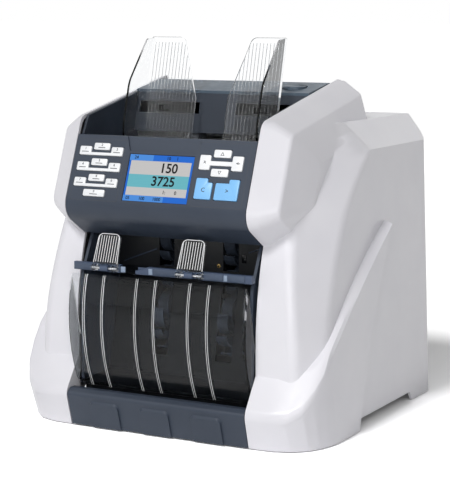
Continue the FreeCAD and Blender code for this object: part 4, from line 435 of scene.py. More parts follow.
class Palette:
    """The machine's finishes."""

    # Lacquer over a fine grain: a cool white with broad soft lights
    pearl = MouldedPlastic(
        "pearl_lacquered_abs", "#E3E2E7", "#DEDDE3", 0.34, 0.9, 0.012, coat=0.15, glint=0.35
    )
    # Bare grained mouldings: dull blue greys with a soft, broken shine
    slate = MouldedPlastic("slate_moulded_abs", "#363E4B", "#313946", 0.46, 0.7, 0.03, glint=0.3)
    hopper = MouldedPlastic("hopper_moulded_abs", "#29313D", "#252C37", 0.48, 0.9, 0.02, glint=0.3)
    deck = MouldedPlastic("deck_moulded_abs", "#4A5A68", "#435260", 0.45, 0.7, 0.03)
    pocket = MouldedPlastic("pocket_moulded_abs", "#3C4A60", "#344155", 0.42, 0.7, 0.03)
    # Paler than the pocket moulding, and smoother: painted light, so that the facets stand out as lit patches
    facet = MouldedPlastic("tray_lip_facet_painted_light", "#8C9CB1", "#8494AA", 0.38, 0.7, 0.02)
    # A shade darker than the face around it: painted shade that makes a flat line read as cut in
    groove = MouldedPlastic("groove_painted_shade", "#2A313D", "#262D38", 0.5, 0.6, 0.01)
    # A bluish lip on a tray, and near black behind it: painted shade inside the pocket
    tray = TwoTonePlastic("tray_abs_painted_inner_shade", "#3C4A62", "#15181D", -141.0, 0.42)
    # A dark plastic, made nearly black and almost without gloss: painted shade, so that the stacker looks
    # deep
    stack = MouldedPlastic("stacker_abs_painted_shade", "#1A1D22", "#15181C", 0.55, 6.0, 0.004, glint=0.15)
    # Dull black with a fine tooth
    black = MouldedPlastic("black_nylon", "#1B1C1F", "#222326", 0.5, 0.6, 0.03)
    # Satin caps with crisp dull print
    key_white = MouldedPlastic("white_keycap_abs", "#F2F3F5", "#E9EBEE", 0.38, 0.6, 0.01)
    key_blue = MouldedPlastic("blue_keycap_abs", "#86C4F6", "#7DBBF0", 0.38, 0.6, 0.01)
    ink = MouldedPlastic("printed_ink", "#20242B", "#282C34", 0.55, 0.4, 0.004)
    # Matt and dusty
    rubber = MouldedPlastic("moulded_rubber", "#26282B", "#1F2123", 0.78, 0.9, 0.05)
    # Stoved enamel: dark, with a wet shine
    motor = MouldedPlastic("black_enamel", "#26272B", "#1E1F22", 0.32, 1.5, 0.01, coat=0.3)
    # Thin clear walls that bend the view little and shine faintly
    clear = ClearPlastic("clear_polycarbonate", "#F4F6F7", 0.02, ior=1.25)
    guide = ClearPlastic("clear_acrylic", "#FBFCFD", 0.01, ior=1.3)
    stop = ClearPlastic("clear_stop_acrylic", "#FBFCFD", 0.01, ior=1.25)
    # Whitish strips and beads that paint the light caught by clear edges: painted highlights as white lines
    rib = ClearPlastic("painted_highlight_rib_edge", "#FAFBFC", 0.16, 0.1)
    # Bright metals with fine lines: along the bar, level across the sheet, round the turned piece
    steel = Metal("drawn_steel", "#C2C4C7", 0.27)
    zinc = Metal("zinc_plated_sheet", "#AEB1B4", 0.38, (1.0, 1.0, 12.0))
    aluminium = Metal("turned_aluminium", "#C9CBCE", 0.3, (30.0, 1.0, 1.0))
    # A small warm glint
    brass = Metal("pressed_brass", "#C8A86A", 0.3)
    # Smooth and nearly black, with a sharp reflection
    lens = MouldedPlastic("tinted_lens", "#0A0D12", "#0C1016", 0.12, 2.0, 0.002)
    # Areas that shine evenly of themselves, with dull black numerals
    screen_blue = Backlit("display_blue", "#0F6FE0")
    screen_sky = Backlit("display_light_blue", "#4D97EE")
    screen_pale = Backlit("display_pale", "#D5D3D2")
    screen_cyan = Backlit("display_cyan", "#6FC3D0")
    screen_ink = MouldedPlastic("display_ink", "#07080A", "#0B0C0E", 0.5, 1.0, 0.002, glint=0.1)
    # Green with a soft gloss and paler lines
    board = Board("solder_mask")


# Shared ways of making pieces


class Bevel(Enum):
    """Edge softness of a moulded or cut piece."""

    NONE = 0.0
    FINE = 0.3
    SMALL = 0.6
    SOFT = 1.0


class Slot(Enum):
    """The record's slots for finishes."""

    SHELL = "pearl_shell"
    SLATE = "slate_plastic"
    DECK = "deck_plastic"
    BLACK = "black_plastic"
    CLEAR = "clear_plastic"
    GUIDE = "guide_plastic"
    KEY_WHITE = "key_white"
    KEY_BLUE = "key_blue"
    SCREEN = "screen"
    STEEL = "steel"


class Input(Enum):
    """Kinds of input that a geometry-node tree takes."""

    NUMBER = "NodeSocketFloat"
    COUNT = "NodeSocketInt"
    POINT = "NodeSocketVector"
    FINISH = "NodeSocketMaterial"


@dataclass(frozen=True)
class PlateForm:
    """Heights of a plate's underside and face, and the radii of its corners and upper edge."""

    low: float
    top: float
    corner: float = 0.0
    edge: float = 0.0


@dataclass(frozen=True)
class Sign:
    """A numeral or sign: its size, its centre and how much its strokes are thickened."""

    words: str
    height: float
    x: float
    up: float
    weight: float = 0.06


SMOOTH_ANGLE = math.radians(38)
BEVEL_ANGLE = math.radians(28)
FLAT_ANGLE = math.radians(0.6)
WELD_GAP = 0.004
BEVEL_STEPS = 2
FACE_WEIGHT = 100

# Steps of a rounded corner, and the share of its radius that an inner corner gets
CORNER_STEPS = 4
INNER_SHARE = 0.4
SAME_POINT = 1e-5
SAME_LEVEL = 1e-6
INK_HALF = 0.04

SHAPE_SOCKET = "NodeSocketGeometry"


def smooth_tree() -> Tree:
    """Geometry nodes that shade smooth across every edge flatter than a limit.

    Returns:
        The tree.
    """
    tree = bpy.data.node_groups.get("smooth_by_angle")
    if tree:
        return tree
    tree = bpy.data.node_groups.new("smooth_by_angle", "GeometryNodeTree")
    for way in ("INPUT", "OUTPUT"):
        tree.interface.new_socket("Geometry", in_out=way, socket_type=SHAPE_SOCKET)
    shape = add_node(tree, "NodeGroupInput").outputs[0]
    angle = add_node(tree, "GeometryNodeInputMeshEdgeAngle").outputs["Unsigned Angle"]
    limit = {0: angle, 1: SMOOTH_ANGLE}
    flat = add_node(tree, "FunctionNodeCompare", limit, operation="LESS_THAN").outputs[0]
    for domain, smooth in (("FACE", True), ("EDGE", flat)):
        inputs = {"Geometry": shape, "Shade Smooth": smooth}
        shape = add_node(tree, "GeometryNodeSetShadeSmooth", inputs, domain=domain).outputs[0]
    add_node(tree, "NodeGroupOutput", {0: shape})
    return tree


def soften(piece: bpy.types.Object, bevel: Bevel) -> None:
    """Give a faceted piece welded faces, a small edge radius and smooth shading.

    Args:
        piece: Object that gets the modifiers.
        bevel: Its edge softness.
    """
    weld = piece.modifiers.new("weld", "WELD")
    weld.merge_threshold = WELD_GAP * MM
    if bevel is not Bevel.NONE:
        merge = piece.modifiers.new("flatten", "DECIMATE")
        merge.decimate_type = "DISSOLVE"
        merge.angle_limit = FLAT_ANGLE
        edge = piece.modifiers.new("edge", "BEVEL")
        edge.width = bevel.value * MM
        edge.segments = BEVEL_STEPS
        edge.limit_method = "ANGLE"
        edge.angle_limit = BEVEL_ANGLE
        edge.miter_outer = "MITER_ARC"
    shade = piece.modifiers.new("shade", "NODES")
    shade.node_group = smooth_tree()
    flat = piece.modifiers.new("flat_faces", "WEIGHTED_NORMAL")
    flat.keep_sharp = True
    flat.weight = FACE_WEIGHT


def dress(finish: Finish, bevel: Bevel, *names: str) -> None:
    """Finish CAD nodes whose shape is right.

    Args:
        finish: Surface that they get.
        bevel: Softness of their edges.
        names: The nodes.
    """
    for name in names:
        node = NODES[name]
        node.data.materials.clear()
        node.data.materials.append(finish.material())
        soften(node, bevel)
        log.info("dressed %s with %s", name, finish.name)


def put(name: str, data: bpy.types.ID) -> bpy.types.Object:
    """Put a mesh, a lamp or a camera into the scene.

    Args:
        name: The object's name.
        data: What it shows.

    Returns:
        The new object.
    """
    thing = bpy.data.objects.new(name, data)
    bpy.context.scene.collection.objects.link(thing)
    return thing


def add_piece(mesh: Mesh, finish: Finish, body: str, slot: Slot, *replaced: str) -> None:
    """Put a finished mesh into the scene on a body.

    Args:
        mesh: The mesh, in the machine's frame; the piece takes its name.
        finish: Its surface.
        body: The body that it moves with.
        slot: The record's slot for its finish; not used.
        replaced: CAD nodes that it stands for.
    """
    piece = put(mesh.name, mesh)
    if not mesh.materials:
        mesh.materials.append(finish.material())
    if replaced:
        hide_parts(*replaced)
    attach(piece, body)
    log.info("added %s on %s", piece.name, body)


def finished_mesh(name: str, shape: Shape, place: Matrix) -> Mesh:
    """Turn a shape in millimetres into a smooth-shaded mesh in the machine's frame.

    Args:
        name: Name of the mesh.
        shape: The shape, freed here.
        place: Where it goes; its translation is in metres.

    Returns:
        The mesh.
    """
    bmesh.ops.remove_doubles(shape, verts=shape.verts, dist=SAME_POINT)
    bmesh.ops.recalc_face_normals(shape, faces=shape.faces)
    shape.transform(place @ Matrix.Scale(MM, 4))
    mesh = bpy.data.meshes.new(name)
    shape.to_mesh(mesh)
    shape.free()
    mesh.shade_smooth()
    mesh.set_sharp_from_angle(angle=SMOOTH_ANGLE)
    return mesh


def turns_in(outline: Outline, number: int) -> bool:
    """Whether an anticlockwise outline turns inward at one of its corners."""
    before, here, after = (Vector(outline[(number + step) % len(outline)]) for step in (-1, 0, 1))
    return (here - before).cross(after - here) < 0.0


def add_plate(shape: Shape, outline: Outline, form: PlateForm) -> None:
    """Add a plate with rounded corners and a rounded upper edge to a shape.

    Args:
        shape: Shape that gets the plate.
        outline: Its corners, anticlockwise.
        form: Its heights and radii.
    """
    part = bmesh.new()
    part.faces.new([part.verts.new((x, y, form.top)) for x, y in outline])
    if form.corner:
        verts = part.verts[:]
        inner = [vert for number, vert in enumerate(verts) if turns_in(outline, number)]
        outer = [vert for vert in verts if vert not in inner]
        rounding = {"segments": CORNER_STEPS, "affect": "VERTICES", "profile": 0.5}
        for corners, radius in ((outer, form.corner), (inner, form.corner * INNER_SHARE)):
            bmesh.ops.bevel(part, geom=corners, offset=radius, **rounding)
    face = max(part.faces, key=lambda f: f.calc_area())
    made = bmesh.ops.extrude_face_region(part, geom=[face])
    lowered = [v for v in made["geom"] if isinstance(v, bmesh.types.BMVert)]
    bmesh.ops.translate(part, verts=lowered, vec=(0, 0, form.low - form.top))
    if form.edge:
        upper = [e for e in part.edges if all(abs(v.co.z - form.top) < SAME_LEVEL for v in e.verts)]
        bmesh.ops.bevel(part, geom=upper, offset=form.edge, segments=BEVEL_STEPS, affect="EDGES", profile=0.5)
    bmesh.ops.recalc_face_normals(part, faces=part.faces)
    mesh = bpy.data.meshes.new("part")
    part.to_mesh(mesh)
    part.free()
    shape.from_mesh(mesh)
    bpy.data.meshes.remove(mesh)


def plates(name: str, outlines: list[Outline], form: PlateForm, place: Matrix) -> Mesh:
    """Make one mesh of several plates of a form.

    Args:
        name: Name of the mesh.
        outlines: The plates' corners, anticlockwise.
        form: Their heights and radii.
        place: Where they go.

    Returns:
        The mesh.
    """
    shape = bmesh.new()
    for outline in outlines:
        add_plate(shape, outline, form)
    return finished_mesh(name, shape, place)


def curve_mesh(curve: bpy.types.Curve) -> Mesh:
    """Turn a curve or a text into a mesh, and delete it.

    Args:
        curve: The curve or text.

    Returns:
        The mesh.
    """
    holder = bpy.data.objects.new("holder", curve)
    mesh = bpy.data.meshes.new_from_object(holder)
    bpy.data.objects.remove(holder)
    bpy.data.curves.remove(curve)
    return mesh


def add_sign(shape: Shape, sign: Sign, level: float) -> None:
    """Add a flat numeral or sign to a shape.

    Args:
        shape: Shape that gets it.
        sign: What is written, and where.
        level: Height at which it lies.
    """
    curve = bpy.data.curves.new("writing", "FONT")
    curve.body = sign.words
    curve.size = sign.height
    curve.align_x = "CENTER"
    curve.align_y = "CENTER"
    curve.offset = sign.weight
    curve.extrude = INK_HALF
    mesh = curve_mesh(curve)
    mesh.transform(Matrix.Translation((sign.x, sign.up, level)))
    shape.from_mesh(mesh)
    bpy.data.meshes.remove(mesh)


def bead_mesh(name: str, path: Outline, radius: float, place: Matrix) -> Mesh:
    """Draw a round bead along a flat path.

    Args:
        name: The mesh's name.
        path: Points of the path, in the plane of the place.
        radius: The bead's radius.
        place: Where the plane lies; its translation is in metres.

    Returns:
        The bead as a mesh.
    """
    curve = bpy.data.curves.new("bead", "CURVE")
    curve.dimensions = "3D"
    curve.bevel_depth = radius * MM
    curve.bevel_resolution = 1
    curve.use_fill_caps = True
    line = curve.splines.new("POLY")
    line.points.add(len(path) - 1)
    for point, (x, y) in zip(line.points, path):
        point.co = (x * MM, y * MM, 0.0, 1.0)
    mesh = curve_mesh(curve)
    mesh.name = name
    mesh.transform(place)
    return mesh


def box_outline(left: float, low: float, width: float, height: float) -> Outline:
    """Corners of a rectangle, anticlockwise."""
    return [(left, low), (left + width, low), (left + width, low + height), (left, low + height)]


def frame_matrix(origin: Triple, lean: float) -> Matrix:
    """Frame of a plate that faces the front and leans back.

    Args:
        origin: Foot of the plate.
        lean: Lean from upright, in degrees.

    Returns:
        A matrix whose X runs right, Y up the plate and Z out of its front.
    """
    turn = Matrix.Rotation(math.radians(90) - math.radians(lean), 4, "X")
    return Matrix.Translation(Vector(origin) * MM) @ turn


# Geometry nodes for ribs

ROW_INPUTS = {name: Input.NUMBER for name in ("Pitch", "Length", "Radius", "First Share", "Share Step")}
ROW_INPUTS |= {"Count": Input.COUNT, "Finish": Input.FINISH}
ROW_SIDES = 8

# Inputs for whitish strips along the door's rib edges, which paint the highlights of those edges
EDGE_INPUTS = {name: Input.POINT for name in ("Low", "Middle", "Top")}
EDGE_INPUTS |= {name: Input.NUMBER for name in ("First", "Pair Pitch", "Bay", "Rib Width", "Radius")}
EDGE_INPUTS |= {"Count": Input.COUNT, "Finish": Input.FINISH}
EDGE_SIDES = 6
EDGE_BENDS = 24

# A pair of ribs has four edges, a rib has two
EDGES_OF_PAIR, EDGES_OF_RIB = 4.0, 2.0


def empty_tree(name: str, inputs: dict[str, Input]) -> Tree:
    """Start a geometry-node tree that makes a shape out of named inputs.

    Args:
        name: The tree's name.
        inputs: Its inputs with their kinds.

    Returns:
        The tree, still without nodes.
    """
    tree = bpy.data.node_groups.new(name, "GeometryNodeTree")
    for label, kind in inputs.items():
        tree.interface.new_socket(label, in_out="INPUT", socket_type=kind.value)
    tree.interface.new_socket("Geometry", in_out="OUTPUT", socket_type=SHAPE_SOCKET)
    return tree


def round_rib(tree: Tree, path: Socket, radius: Socket, sides: int) -> Socket:
    """Sweep a round profile along a path.

    Args:
        tree: The tree.
        path: The path.
        radius: The profile's radius.
        sides: The profile's sides.

    Returns:
        The socket of the rib.
    """
    circle = {"Resolution": sides, "Radius": radius}
    profile = add_node(tree, "GeometryNodeCurvePrimitiveCircle", circle).outputs[0]
    sweep = {"Curve": path, "Profile Curve": profile, "Fill Caps": True}
    return add_node(tree, "GeometryNodeCurveToMesh", sweep).outputs[0]


def end_tree(tree: Tree, copies: Socket, finish: Socket) -> None:
    """Make copies real, shade them smooth, give them their finish and put them out.

    Args:
        tree: The tree.
        copies: The copies.
        finish: Their material.
    """
    solid = add_node(tree, "GeometryNodeRealizeInstances", {"Geometry": copies}).outputs[0]
    smooth = {"Geometry": solid, "Shade Smooth": True}
    shaded = add_node(tree, "GeometryNodeSetShadeSmooth", smooth).outputs[0]
    dressed = {"Geometry": shaded, "Material": finish}
    add_node(tree, "NodeGroupOutput", {0: add_node(tree, "GeometryNodeSetMaterial", dressed).outputs[0]})


def rib_row_tree() -> Tree:
    """Geometry nodes for a row of half-sunk round ribs that run up a plate.

    Returns:
        The tree.
    """
    tree = bpy.data.node_groups.get("rib_row")
    if tree:
        return tree
    tree = empty_tree("rib_row", ROW_INPUTS)
    sizes = add_node(tree, "NodeGroupInput").outputs
    step = add_node(tree, "ShaderNodeCombineXYZ", {"X": sizes["Pitch"]}).outputs[0]
    line = {"Count": sizes["Count"], "Offset": step}
    row = add_node(tree, "GeometryNodeMeshLine", line, mode="OFFSET").outputs[0]
    end = add_node(tree, "ShaderNodeCombineXYZ", {"Y": sizes["Length"]}).outputs[0]
    upright = {"Start": (0.0, 0.0, 0.0), "End": end}
    path = add_node(tree, "GeometryNodeCurvePrimitiveLine", upright).outputs[0]
    number = add_node(tree, "GeometryNodeInputIndex").outputs[0]
    slope = {0: number, 1: sizes["Share Step"], 2: sizes["First Share"]}
    share = add_node(tree, "ShaderNodeMath", slope, operation="MULTIPLY_ADD").outputs[0]
    capped = add_node(tree, "ShaderNodeMath", {0: share, 1: 1.0}, operation="MINIMUM").outputs[0]
    scale = add_node(tree, "ShaderNodeCombineXYZ", {"X": 1.0, "Y": capped, "Z": 1.0}).outputs[0]
    rib = round_rib(tree, path, sizes["Radius"], ROW_SIDES)
    copies = {"Points": row, "Instance": rib, "Scale": scale}
    end_tree(tree, add_node(tree, "GeometryNodeInstanceOnPoints", copies).outputs[0], sizes["Finish"])
    return tree


def rib_edge_highlight_tree() -> Tree:
    """Geometry nodes for whitish strips along the edges of paired ribs up a curved door: painted highlights
    of those edges.

    Returns:
        The tree.
    """
    tree = bpy.data.node_groups.get("rib_edge_highlights")
    if tree:
        return tree
    tree = empty_tree("rib_edge_highlights", EDGE_INPUTS)
    sizes = add_node(tree, "NodeGroupInput").outputs
    bend = {"Resolution": EDGE_BENDS, "Start": sizes["Low"], "Middle": sizes["Middle"], "End": sizes["Top"]}
    arc = add_node(tree, "GeometryNodeCurveArc", bend, mode="POINTS").outputs["Curve"]
    number = add_node(tree, "GeometryNodeInputIndex").outputs[0]
    across = sizes["First"]
    for run, size in ((EDGES_OF_PAIR, "Pair Pitch"), (EDGES_OF_RIB, "Bay"), (1.0, "Rib Width")):
        turn = add_node(tree, "ShaderNodeMath", {0: number, 1: run}, operation="DIVIDE").outputs[0]
        steps = add_node(tree, "ShaderNodeMath", {0: turn}, operation="FLOOR").outputs[0]
        if run != EDGES_OF_PAIR:
            steps = add_node(tree, "ShaderNodeMath", {0: steps, 1: 2.0}, operation="MODULO").outputs[0]
        moved = {0: steps, 1: sizes[size], 2: across}
        across = add_node(tree, "ShaderNodeMath", moved, operation="MULTIPLY_ADD").outputs[0]
    place = add_node(tree, "ShaderNodeCombineXYZ", {"X": across}).outputs[0]
    row = add_node(tree, "GeometryNodeMeshLine", {"Count": sizes["Count"]}, mode="OFFSET").outputs[0]
    spots = add_node(tree, "GeometryNodeSetPosition", {"Geometry": row, "Position": place}).outputs[0]
    copies = {"Points": spots, "Instance": round_rib(tree, arc, sizes["Radius"], EDGE_SIDES)}
    end_tree(tree, add_node(tree, "GeometryNodeInstanceOnPoints", copies).outputs[0], sizes["Finish"])
    return tree


def grown_mesh(name: str, tree: Tree, inputs: dict[str, object], place: Matrix) -> Mesh:
    """Run a geometry-node tree with its inputs and keep the result as a plain mesh.

    Args:
        name: Name of the mesh.
        tree: The tree.
        inputs: Values by input name; lengths in metres.
        place: Where the result goes.

    Returns:
        The mesh, in the machine's frame.
    """
    seed = put("seed", bpy.data.meshes.new("seed"))
    modifier = seed.modifiers.new("grow", "NODES")
    modifier.node_group = tree
    for item in tree.interface.items_tree:
        if item.in_out == "INPUT":
            modifier[item.identifier] = inputs[item.name]
    bpy.context.view_layer.update()
    evaluated = seed.evaluated_get(bpy.context.evaluated_depsgraph_get())
    mesh = bpy.data.meshes.new_from_object(evaluated)
    mesh.name = name
    mesh.transform(place)
    seed.modifiers.clear()
    bpy.data.objects.remove(seed)
    return mesh


@dataclass(frozen=True)
class RibRow:
    """A row of round ribs that run up a plate; the first ones may be shorter by steps."""

    pitch: float
    count: int
    radius: float
    foot: float
    length: float
    first_share: float = 1.0
    share_step: float = 0.0

    def grow(self, name: str, finish: Finish, place: Matrix, side: int = 1) -> Mesh:
        """Grow the row.

        Args:
            name: Name of the mesh.
            finish: The ribs' surface.
            place: Where the foot of the first rib goes.
            side: 1 for a row that runs right, -1 for one that runs left.

        Returns:
            The mesh.
        """
        inputs = {
            "Pitch": side * self.pitch * MM,
            "Length": self.length * MM,
            "Radius": self.radius * MM,
            "First Share": self.first_share,
            "Share Step": self.share_step,
            "Count": self.count,
            "Finish": finish.material(),
        }
        return grown_mesh(name, rib_row_tree(), inputs, place)


# Sub-assemblies


@dataclass
class Casing:
    """White side shells, rear cover, slate foot and what the machine stands on."""

    cap_y: float = 43.0
    cap_form: PlateForm = PlateForm(-0.8, 0.8)
    cap_outline: tuple[Pair, ...] = (
        (102.7, 309.2), (135.6, 309.2), (131.5, 324.0), (129.8, 330.5),
        (126.6, 336.5), (116.2, 344.3), (109.0, 348.4), (102.7, 349.7),
    )

    def collar_caps(self) -> None:
        """Close the rear ends of both raised collars."""
        sides = [list(self.cap_outline), [(-x, z) for x, z in reversed(self.cap_outline)]]
        mesh = plates("collar_end_caps", sides, self.cap_form, frame_matrix((0.0, self.cap_y, 0.0), 0.0))
        add_piece(mesh, Palette.pearl, ROOT, Slot.SHELL)

    def build(self) -> None:
        """Close the collars and finish the casing's nodes."""
        self.collar_caps()
        dress(Palette.pearl, Bevel.SOFT, "right_shell", "left_shell", "rear_cover")
        dress(Palette.slate, Bevel.SMALL, "front_plinth")
        dress(Palette.slate, Bevel.FINE, "rear_panel")
        dress(Palette.motor, Bevel.FINE, "base_plate")
        dress(Palette.rubber, Bevel.SOFT, "rubber_feet")
        dress(Palette.steel, Bevel.FINE, "panel_screws")


@dataclass(frozen=True)
class ScreenArea:
    """A lit rectangle of the display: left, low, width and height, and the layer in which it lies."""

    name: str
    box: Box
    layer: int
    finish: Finish


@dataclass
class ControlPanel:
    """Slate front with its keys and display; sizes are on the panel's own face."""

    foot: Triple = (0.0, -163.5, 232.0)
    tilt: float = 21.2
    key_form: PlateForm = PlateForm(-4.4, 1.2, 1.3, 0.45)
    ink_lift: float = 0.02

    # Number pad: left, right and block width of a U, then left, rise, width and height of its middle key
    row_low: float = 51.2
    row_pitch: float = 16.35
    rows: tuple[tuple[str, str, str], ...] = (
        ("key_1_3", "key_2", "123"), ("key_4_6", "key_5", "456"), ("key_7_9", "key_8", "789"),
    )
    rocker: Triple = (-96.2, -45.6, 13.4)
    rocker_height: float = 9.1
    rocker_bar: float = 3.0
    rocker_digit: float = 3.6
    rocker_digit_up: float = 6.6
    rocker_rule_up: float = 3.4
    middle: Box = (-80.0, 5.8, 18.4, 7.1)
    zero: Box = (-83.0, 8.5, 24.7, 7.1)
    digit: float = 3.4
    digit_up: float = 5.0
    rule_up: float = 2.2
    rule_length: float = 8.0
    zero_rule_length: float = 9.0
    rule_height: float = 0.7

    # Arrow keys: left, width and height, with the half width, half height and bore of their triangles
    arrow: Triple = (58.2, 18.7, 7.8)
    arrow_lows: Pair = (54.8, 35.6)
    triangle: Pair = (2.2, 1.9)
    triangle_bore: float = 0.42

    # H-shaped key: left, right and block width, and its four levels; then its cross and its return sign
    link: Triple = (43.7, 91.3, 11.8)
    link_levels: Box = (42.0, 46.5, 51.0, 56.8)
    cross_height: float = 5.5
    cross_lift: float = 0.6
    return_height: float = 5.0
    return_tail: Pair = (1.2, 4.0)

    # Large keys: low edge, shoulder and top, and each one's left, step and right
    wide: Triple = (12.4, 29.3, 33.4)
    clear: Triple = (43.8, 56.5, 62.0)
    start: Triple = (65.8, 80.2, 91.2)
    clear_sign: Sign = Sign("C", 6.0, 52.9, 21.5)
    start_sign: Sign = Sign(">", 6.5, 79.0, 21.5)

    # Dark lines that paint the shade of engraved grooves: left, right, low and top of each frame
    groove_frames: tuple[tuple[str, Box], ...] = (
        ("groove_left", (-98.0, -43.0, 4.5, 68.0)), ("groove_right", (40.5, 97.0, 5.0, 70.0)),
    )
    groove_half: float = 0.3
    groove_form: PlateForm = PlateForm(-0.08, 0.02)

    # Display: level and pitch of its layers, its lit areas and its numerals
    screen_level: float = -0.58
    layer_pitch: float = 0.05
    area_thick: float = 0.04
    areas: tuple[ScreenArea, ...] = (
        ScreenArea("screen_field", (-36.6, 6.6, 73.2, 47.8), 0, Palette.screen_blue),
        ScreenArea("screen_tab", (-36.6, 48.4, 27.0, 6.0), 1, Palette.screen_sky),
        ScreenArea("screen_foot", (-36.6, 6.6, 46.0, 5.8), 1, Palette.screen_sky),
        ScreenArea("screen_count", (-34.4, 34.2, 68.8, 14.0), 1, Palette.screen_pale),
        ScreenArea("screen_sum", (-34.4, 21.0, 68.8, 13.2), 1, Palette.screen_cyan),
        ScreenArea("screen_line", (-34.4, 12.6, 68.8, 8.4), 1, Palette.screen_pale),
    )
    numeral_level: float = -0.46
    numerals: tuple[Sign, ...] = (
        Sign("150", 13.5, 10.0, 41.0, 0.28), Sign("3725", 13.5, 6.0, 27.4, 0.28),
        Sign("1:", 5.0, 9.0, 16.8, 0.08), Sign("0", 5.0, 22.0, 16.8, 0.08),
        Sign("24", 4.6, -29.0, 51.4, 0.08), Sign("10", 4.6, 8.0, 51.4, 0.08),
        Sign("1", 4.6, 18.0, 51.4, 0.08), Sign("05", 4.6, -31.0, 9.5, 0.08),
        Sign("100", 4.6, -15.0, 9.5, 0.08), Sign("1000", 4.6, 2.0, 9.5, 0.08),
    )
    place: Matrix = field(init=False)

    def __post_init__(self) -> None:
        """Work out the frame of the panel's face."""
        self.place = frame_matrix(self.foot, self.tilt)

    def rocker_outline(self, low: float) -> Outline:
        """Outline of a U-shaped number key.

        Args:
            low: Height of its lower edge.

        Returns:
            Its corners, anticlockwise.
        """
        left, right, block = self.rocker
        top, bar = low + self.rocker_height, low + self.rocker_bar
        outer = [(left, low), (right, low), (right, top), (right - block, top)]
        return outer + [(right - block, bar), (left + block, bar), (left + block, top), (left, top)]

    def link_outline(self) -> Outline:
        """Outline of the H-shaped key.

        Returns:
            Its corners, anticlockwise.
        """
        left, right, block = self.link
        low, bar_low, bar_top, top = self.link_levels
        lower = [(left, low), (left + block, low), (left + block, bar_low), (right - block, bar_low)]
        right_end = [(right - block, low), (right, low), (right, top), (right - block, top)]
        upper = [(right - block, bar_top), (left + block, bar_top), (left + block, top), (left, top)]
        return lower + right_end + upper

    def wide_outlines(self) -> tuple[Outline, Outline]:
        """Outlines of the two large stepped keys.

        Returns:
            Each key's corners, anticlockwise.
        """
        low, shoulder, top = self.wide
        left, step, right = self.clear
        first = [(left, low), (right, low), (right, shoulder), (step, shoulder), (step, top), (left, top)]
        left, step, right = self.start
        second = [(left, low), (right, low), (right, top), (step, top), (step, shoulder), (left, shoulder)]
        return first, second

    def key(self, node: str, outline: Outline, finish: Finish, slot: Slot) -> None:
        """Replace a key's solid by a softly edged cap.

        Args:
            node: The key's CAD node and body.
            outline: Its corners on the panel.
            finish: Its plastic.
            slot: Its slot in the record.
        """
        mesh = plates(f"{node}_cap", [outline], self.key_form, self.place)
        add_piece(mesh, finish, node, slot, node)

    def print_on(self, node: str, shape: Shape) -> None:
        """Print a flat shape on a key.

        Args:
            node: The key's body.
            shape: What is printed.
        """
        mesh = finished_mesh(f"{node}_legend", shape, self.place)
        add_piece(mesh, Palette.ink, node, Slot.SLATE)

    def legend(self, node: str, signs: list[Sign], rules: Sequence[Triple] = ()) -> None:
        """Print numerals, signs and short rules on a key.

        Args:
            node: The key's body.
            signs: The numerals and signs.
            rules: Centre and length of each rule.
        """
        shape = bmesh.new()
        level = self.key_form.top + self.ink_lift
        for sign in signs:
            add_sign(shape, sign, level)
        form = PlateForm(level - INK_HALF, level + INK_HALF)
        for x, up, length in rules:
            low = up - self.rule_height / 2
            add_plate(shape, box_outline(x - length / 2, low, length, self.rule_height), form)
        self.print_on(node, shape)

    def white_key(self, node: str, digit: str, box: Box, rule_length: float) -> None:
        """Make a rectangular number key.

        Args:
            node: The key's CAD node and body.
            digit: Its numeral.
            box: Its left, low, width and height.
            rule_length: Length of the rule below the numeral.
        """
        left, low, width, _ = box
        centre = left + width / 2
        self.key(node, box_outline(*box), Palette.key_white, Slot.KEY_WHITE)
        sign = Sign(digit, self.digit, centre, low + self.digit_up)
        self.legend(node, [sign], [(centre, low + self.rule_up, rule_length)])

    def number_keys(self) -> None:
        """Make the number pad: three U-shaped keys, the keys in their gaps and a zero."""
        left, right, block = self.rocker
        middle_left, rise, width, height = self.middle
        for row, (rocker, middle, digits) in enumerate(self.rows):
            low = self.row_low - row * self.row_pitch
            self.key(rocker, self.rocker_outline(low), Palette.key_white, Slot.KEY_WHITE)
            ends = {digits[0]: left + block / 2, digits[2]: right - block / 2}
            up, rule = low + self.rocker_digit_up, low + self.rocker_rule_up
            signs = [Sign(digit, self.rocker_digit, x, up) for digit, x in ends.items()]
            self.legend(rocker, signs, [(x, rule, self.rule_length) for x in ends.values()])
            self.white_key(middle, digits[1], (middle_left, low + rise, width, height), self.rule_length)
        self.white_key("key_0", "0", self.zero, self.zero_rule_length)

    def arrow_sign(self, node: str, x: float, up: float, points_up: bool) -> None:
        """Print a hollow triangle on an arrow key.

        Args:
            node: The key's body.
            x: Middle of the triangle's base.
            up: Middle of its height.
            points_up: Whether its tip is at the top.
        """
        shape = bmesh.new()
        level = self.key_form.top + self.ink_lift
        half, rise = self.triangle
        tip = rise if points_up else -rise
        places = ((x - half, up - tip), (x + half, up - tip), (x, up + tip))
        corners = [Vector((*place, level)) for place in places]
        middle = sum(corners, Vector()) / 3
        outer = [shape.verts.new(c) for c in corners]
        inner = [shape.verts.new(c.lerp(middle, self.triangle_bore)) for c in corners]
        for i in range(3):
            shape.faces.new((outer[i], outer[(i + 1) % 3], inner[(i + 1) % 3], inner[i]))
        self.print_on(node, shape)

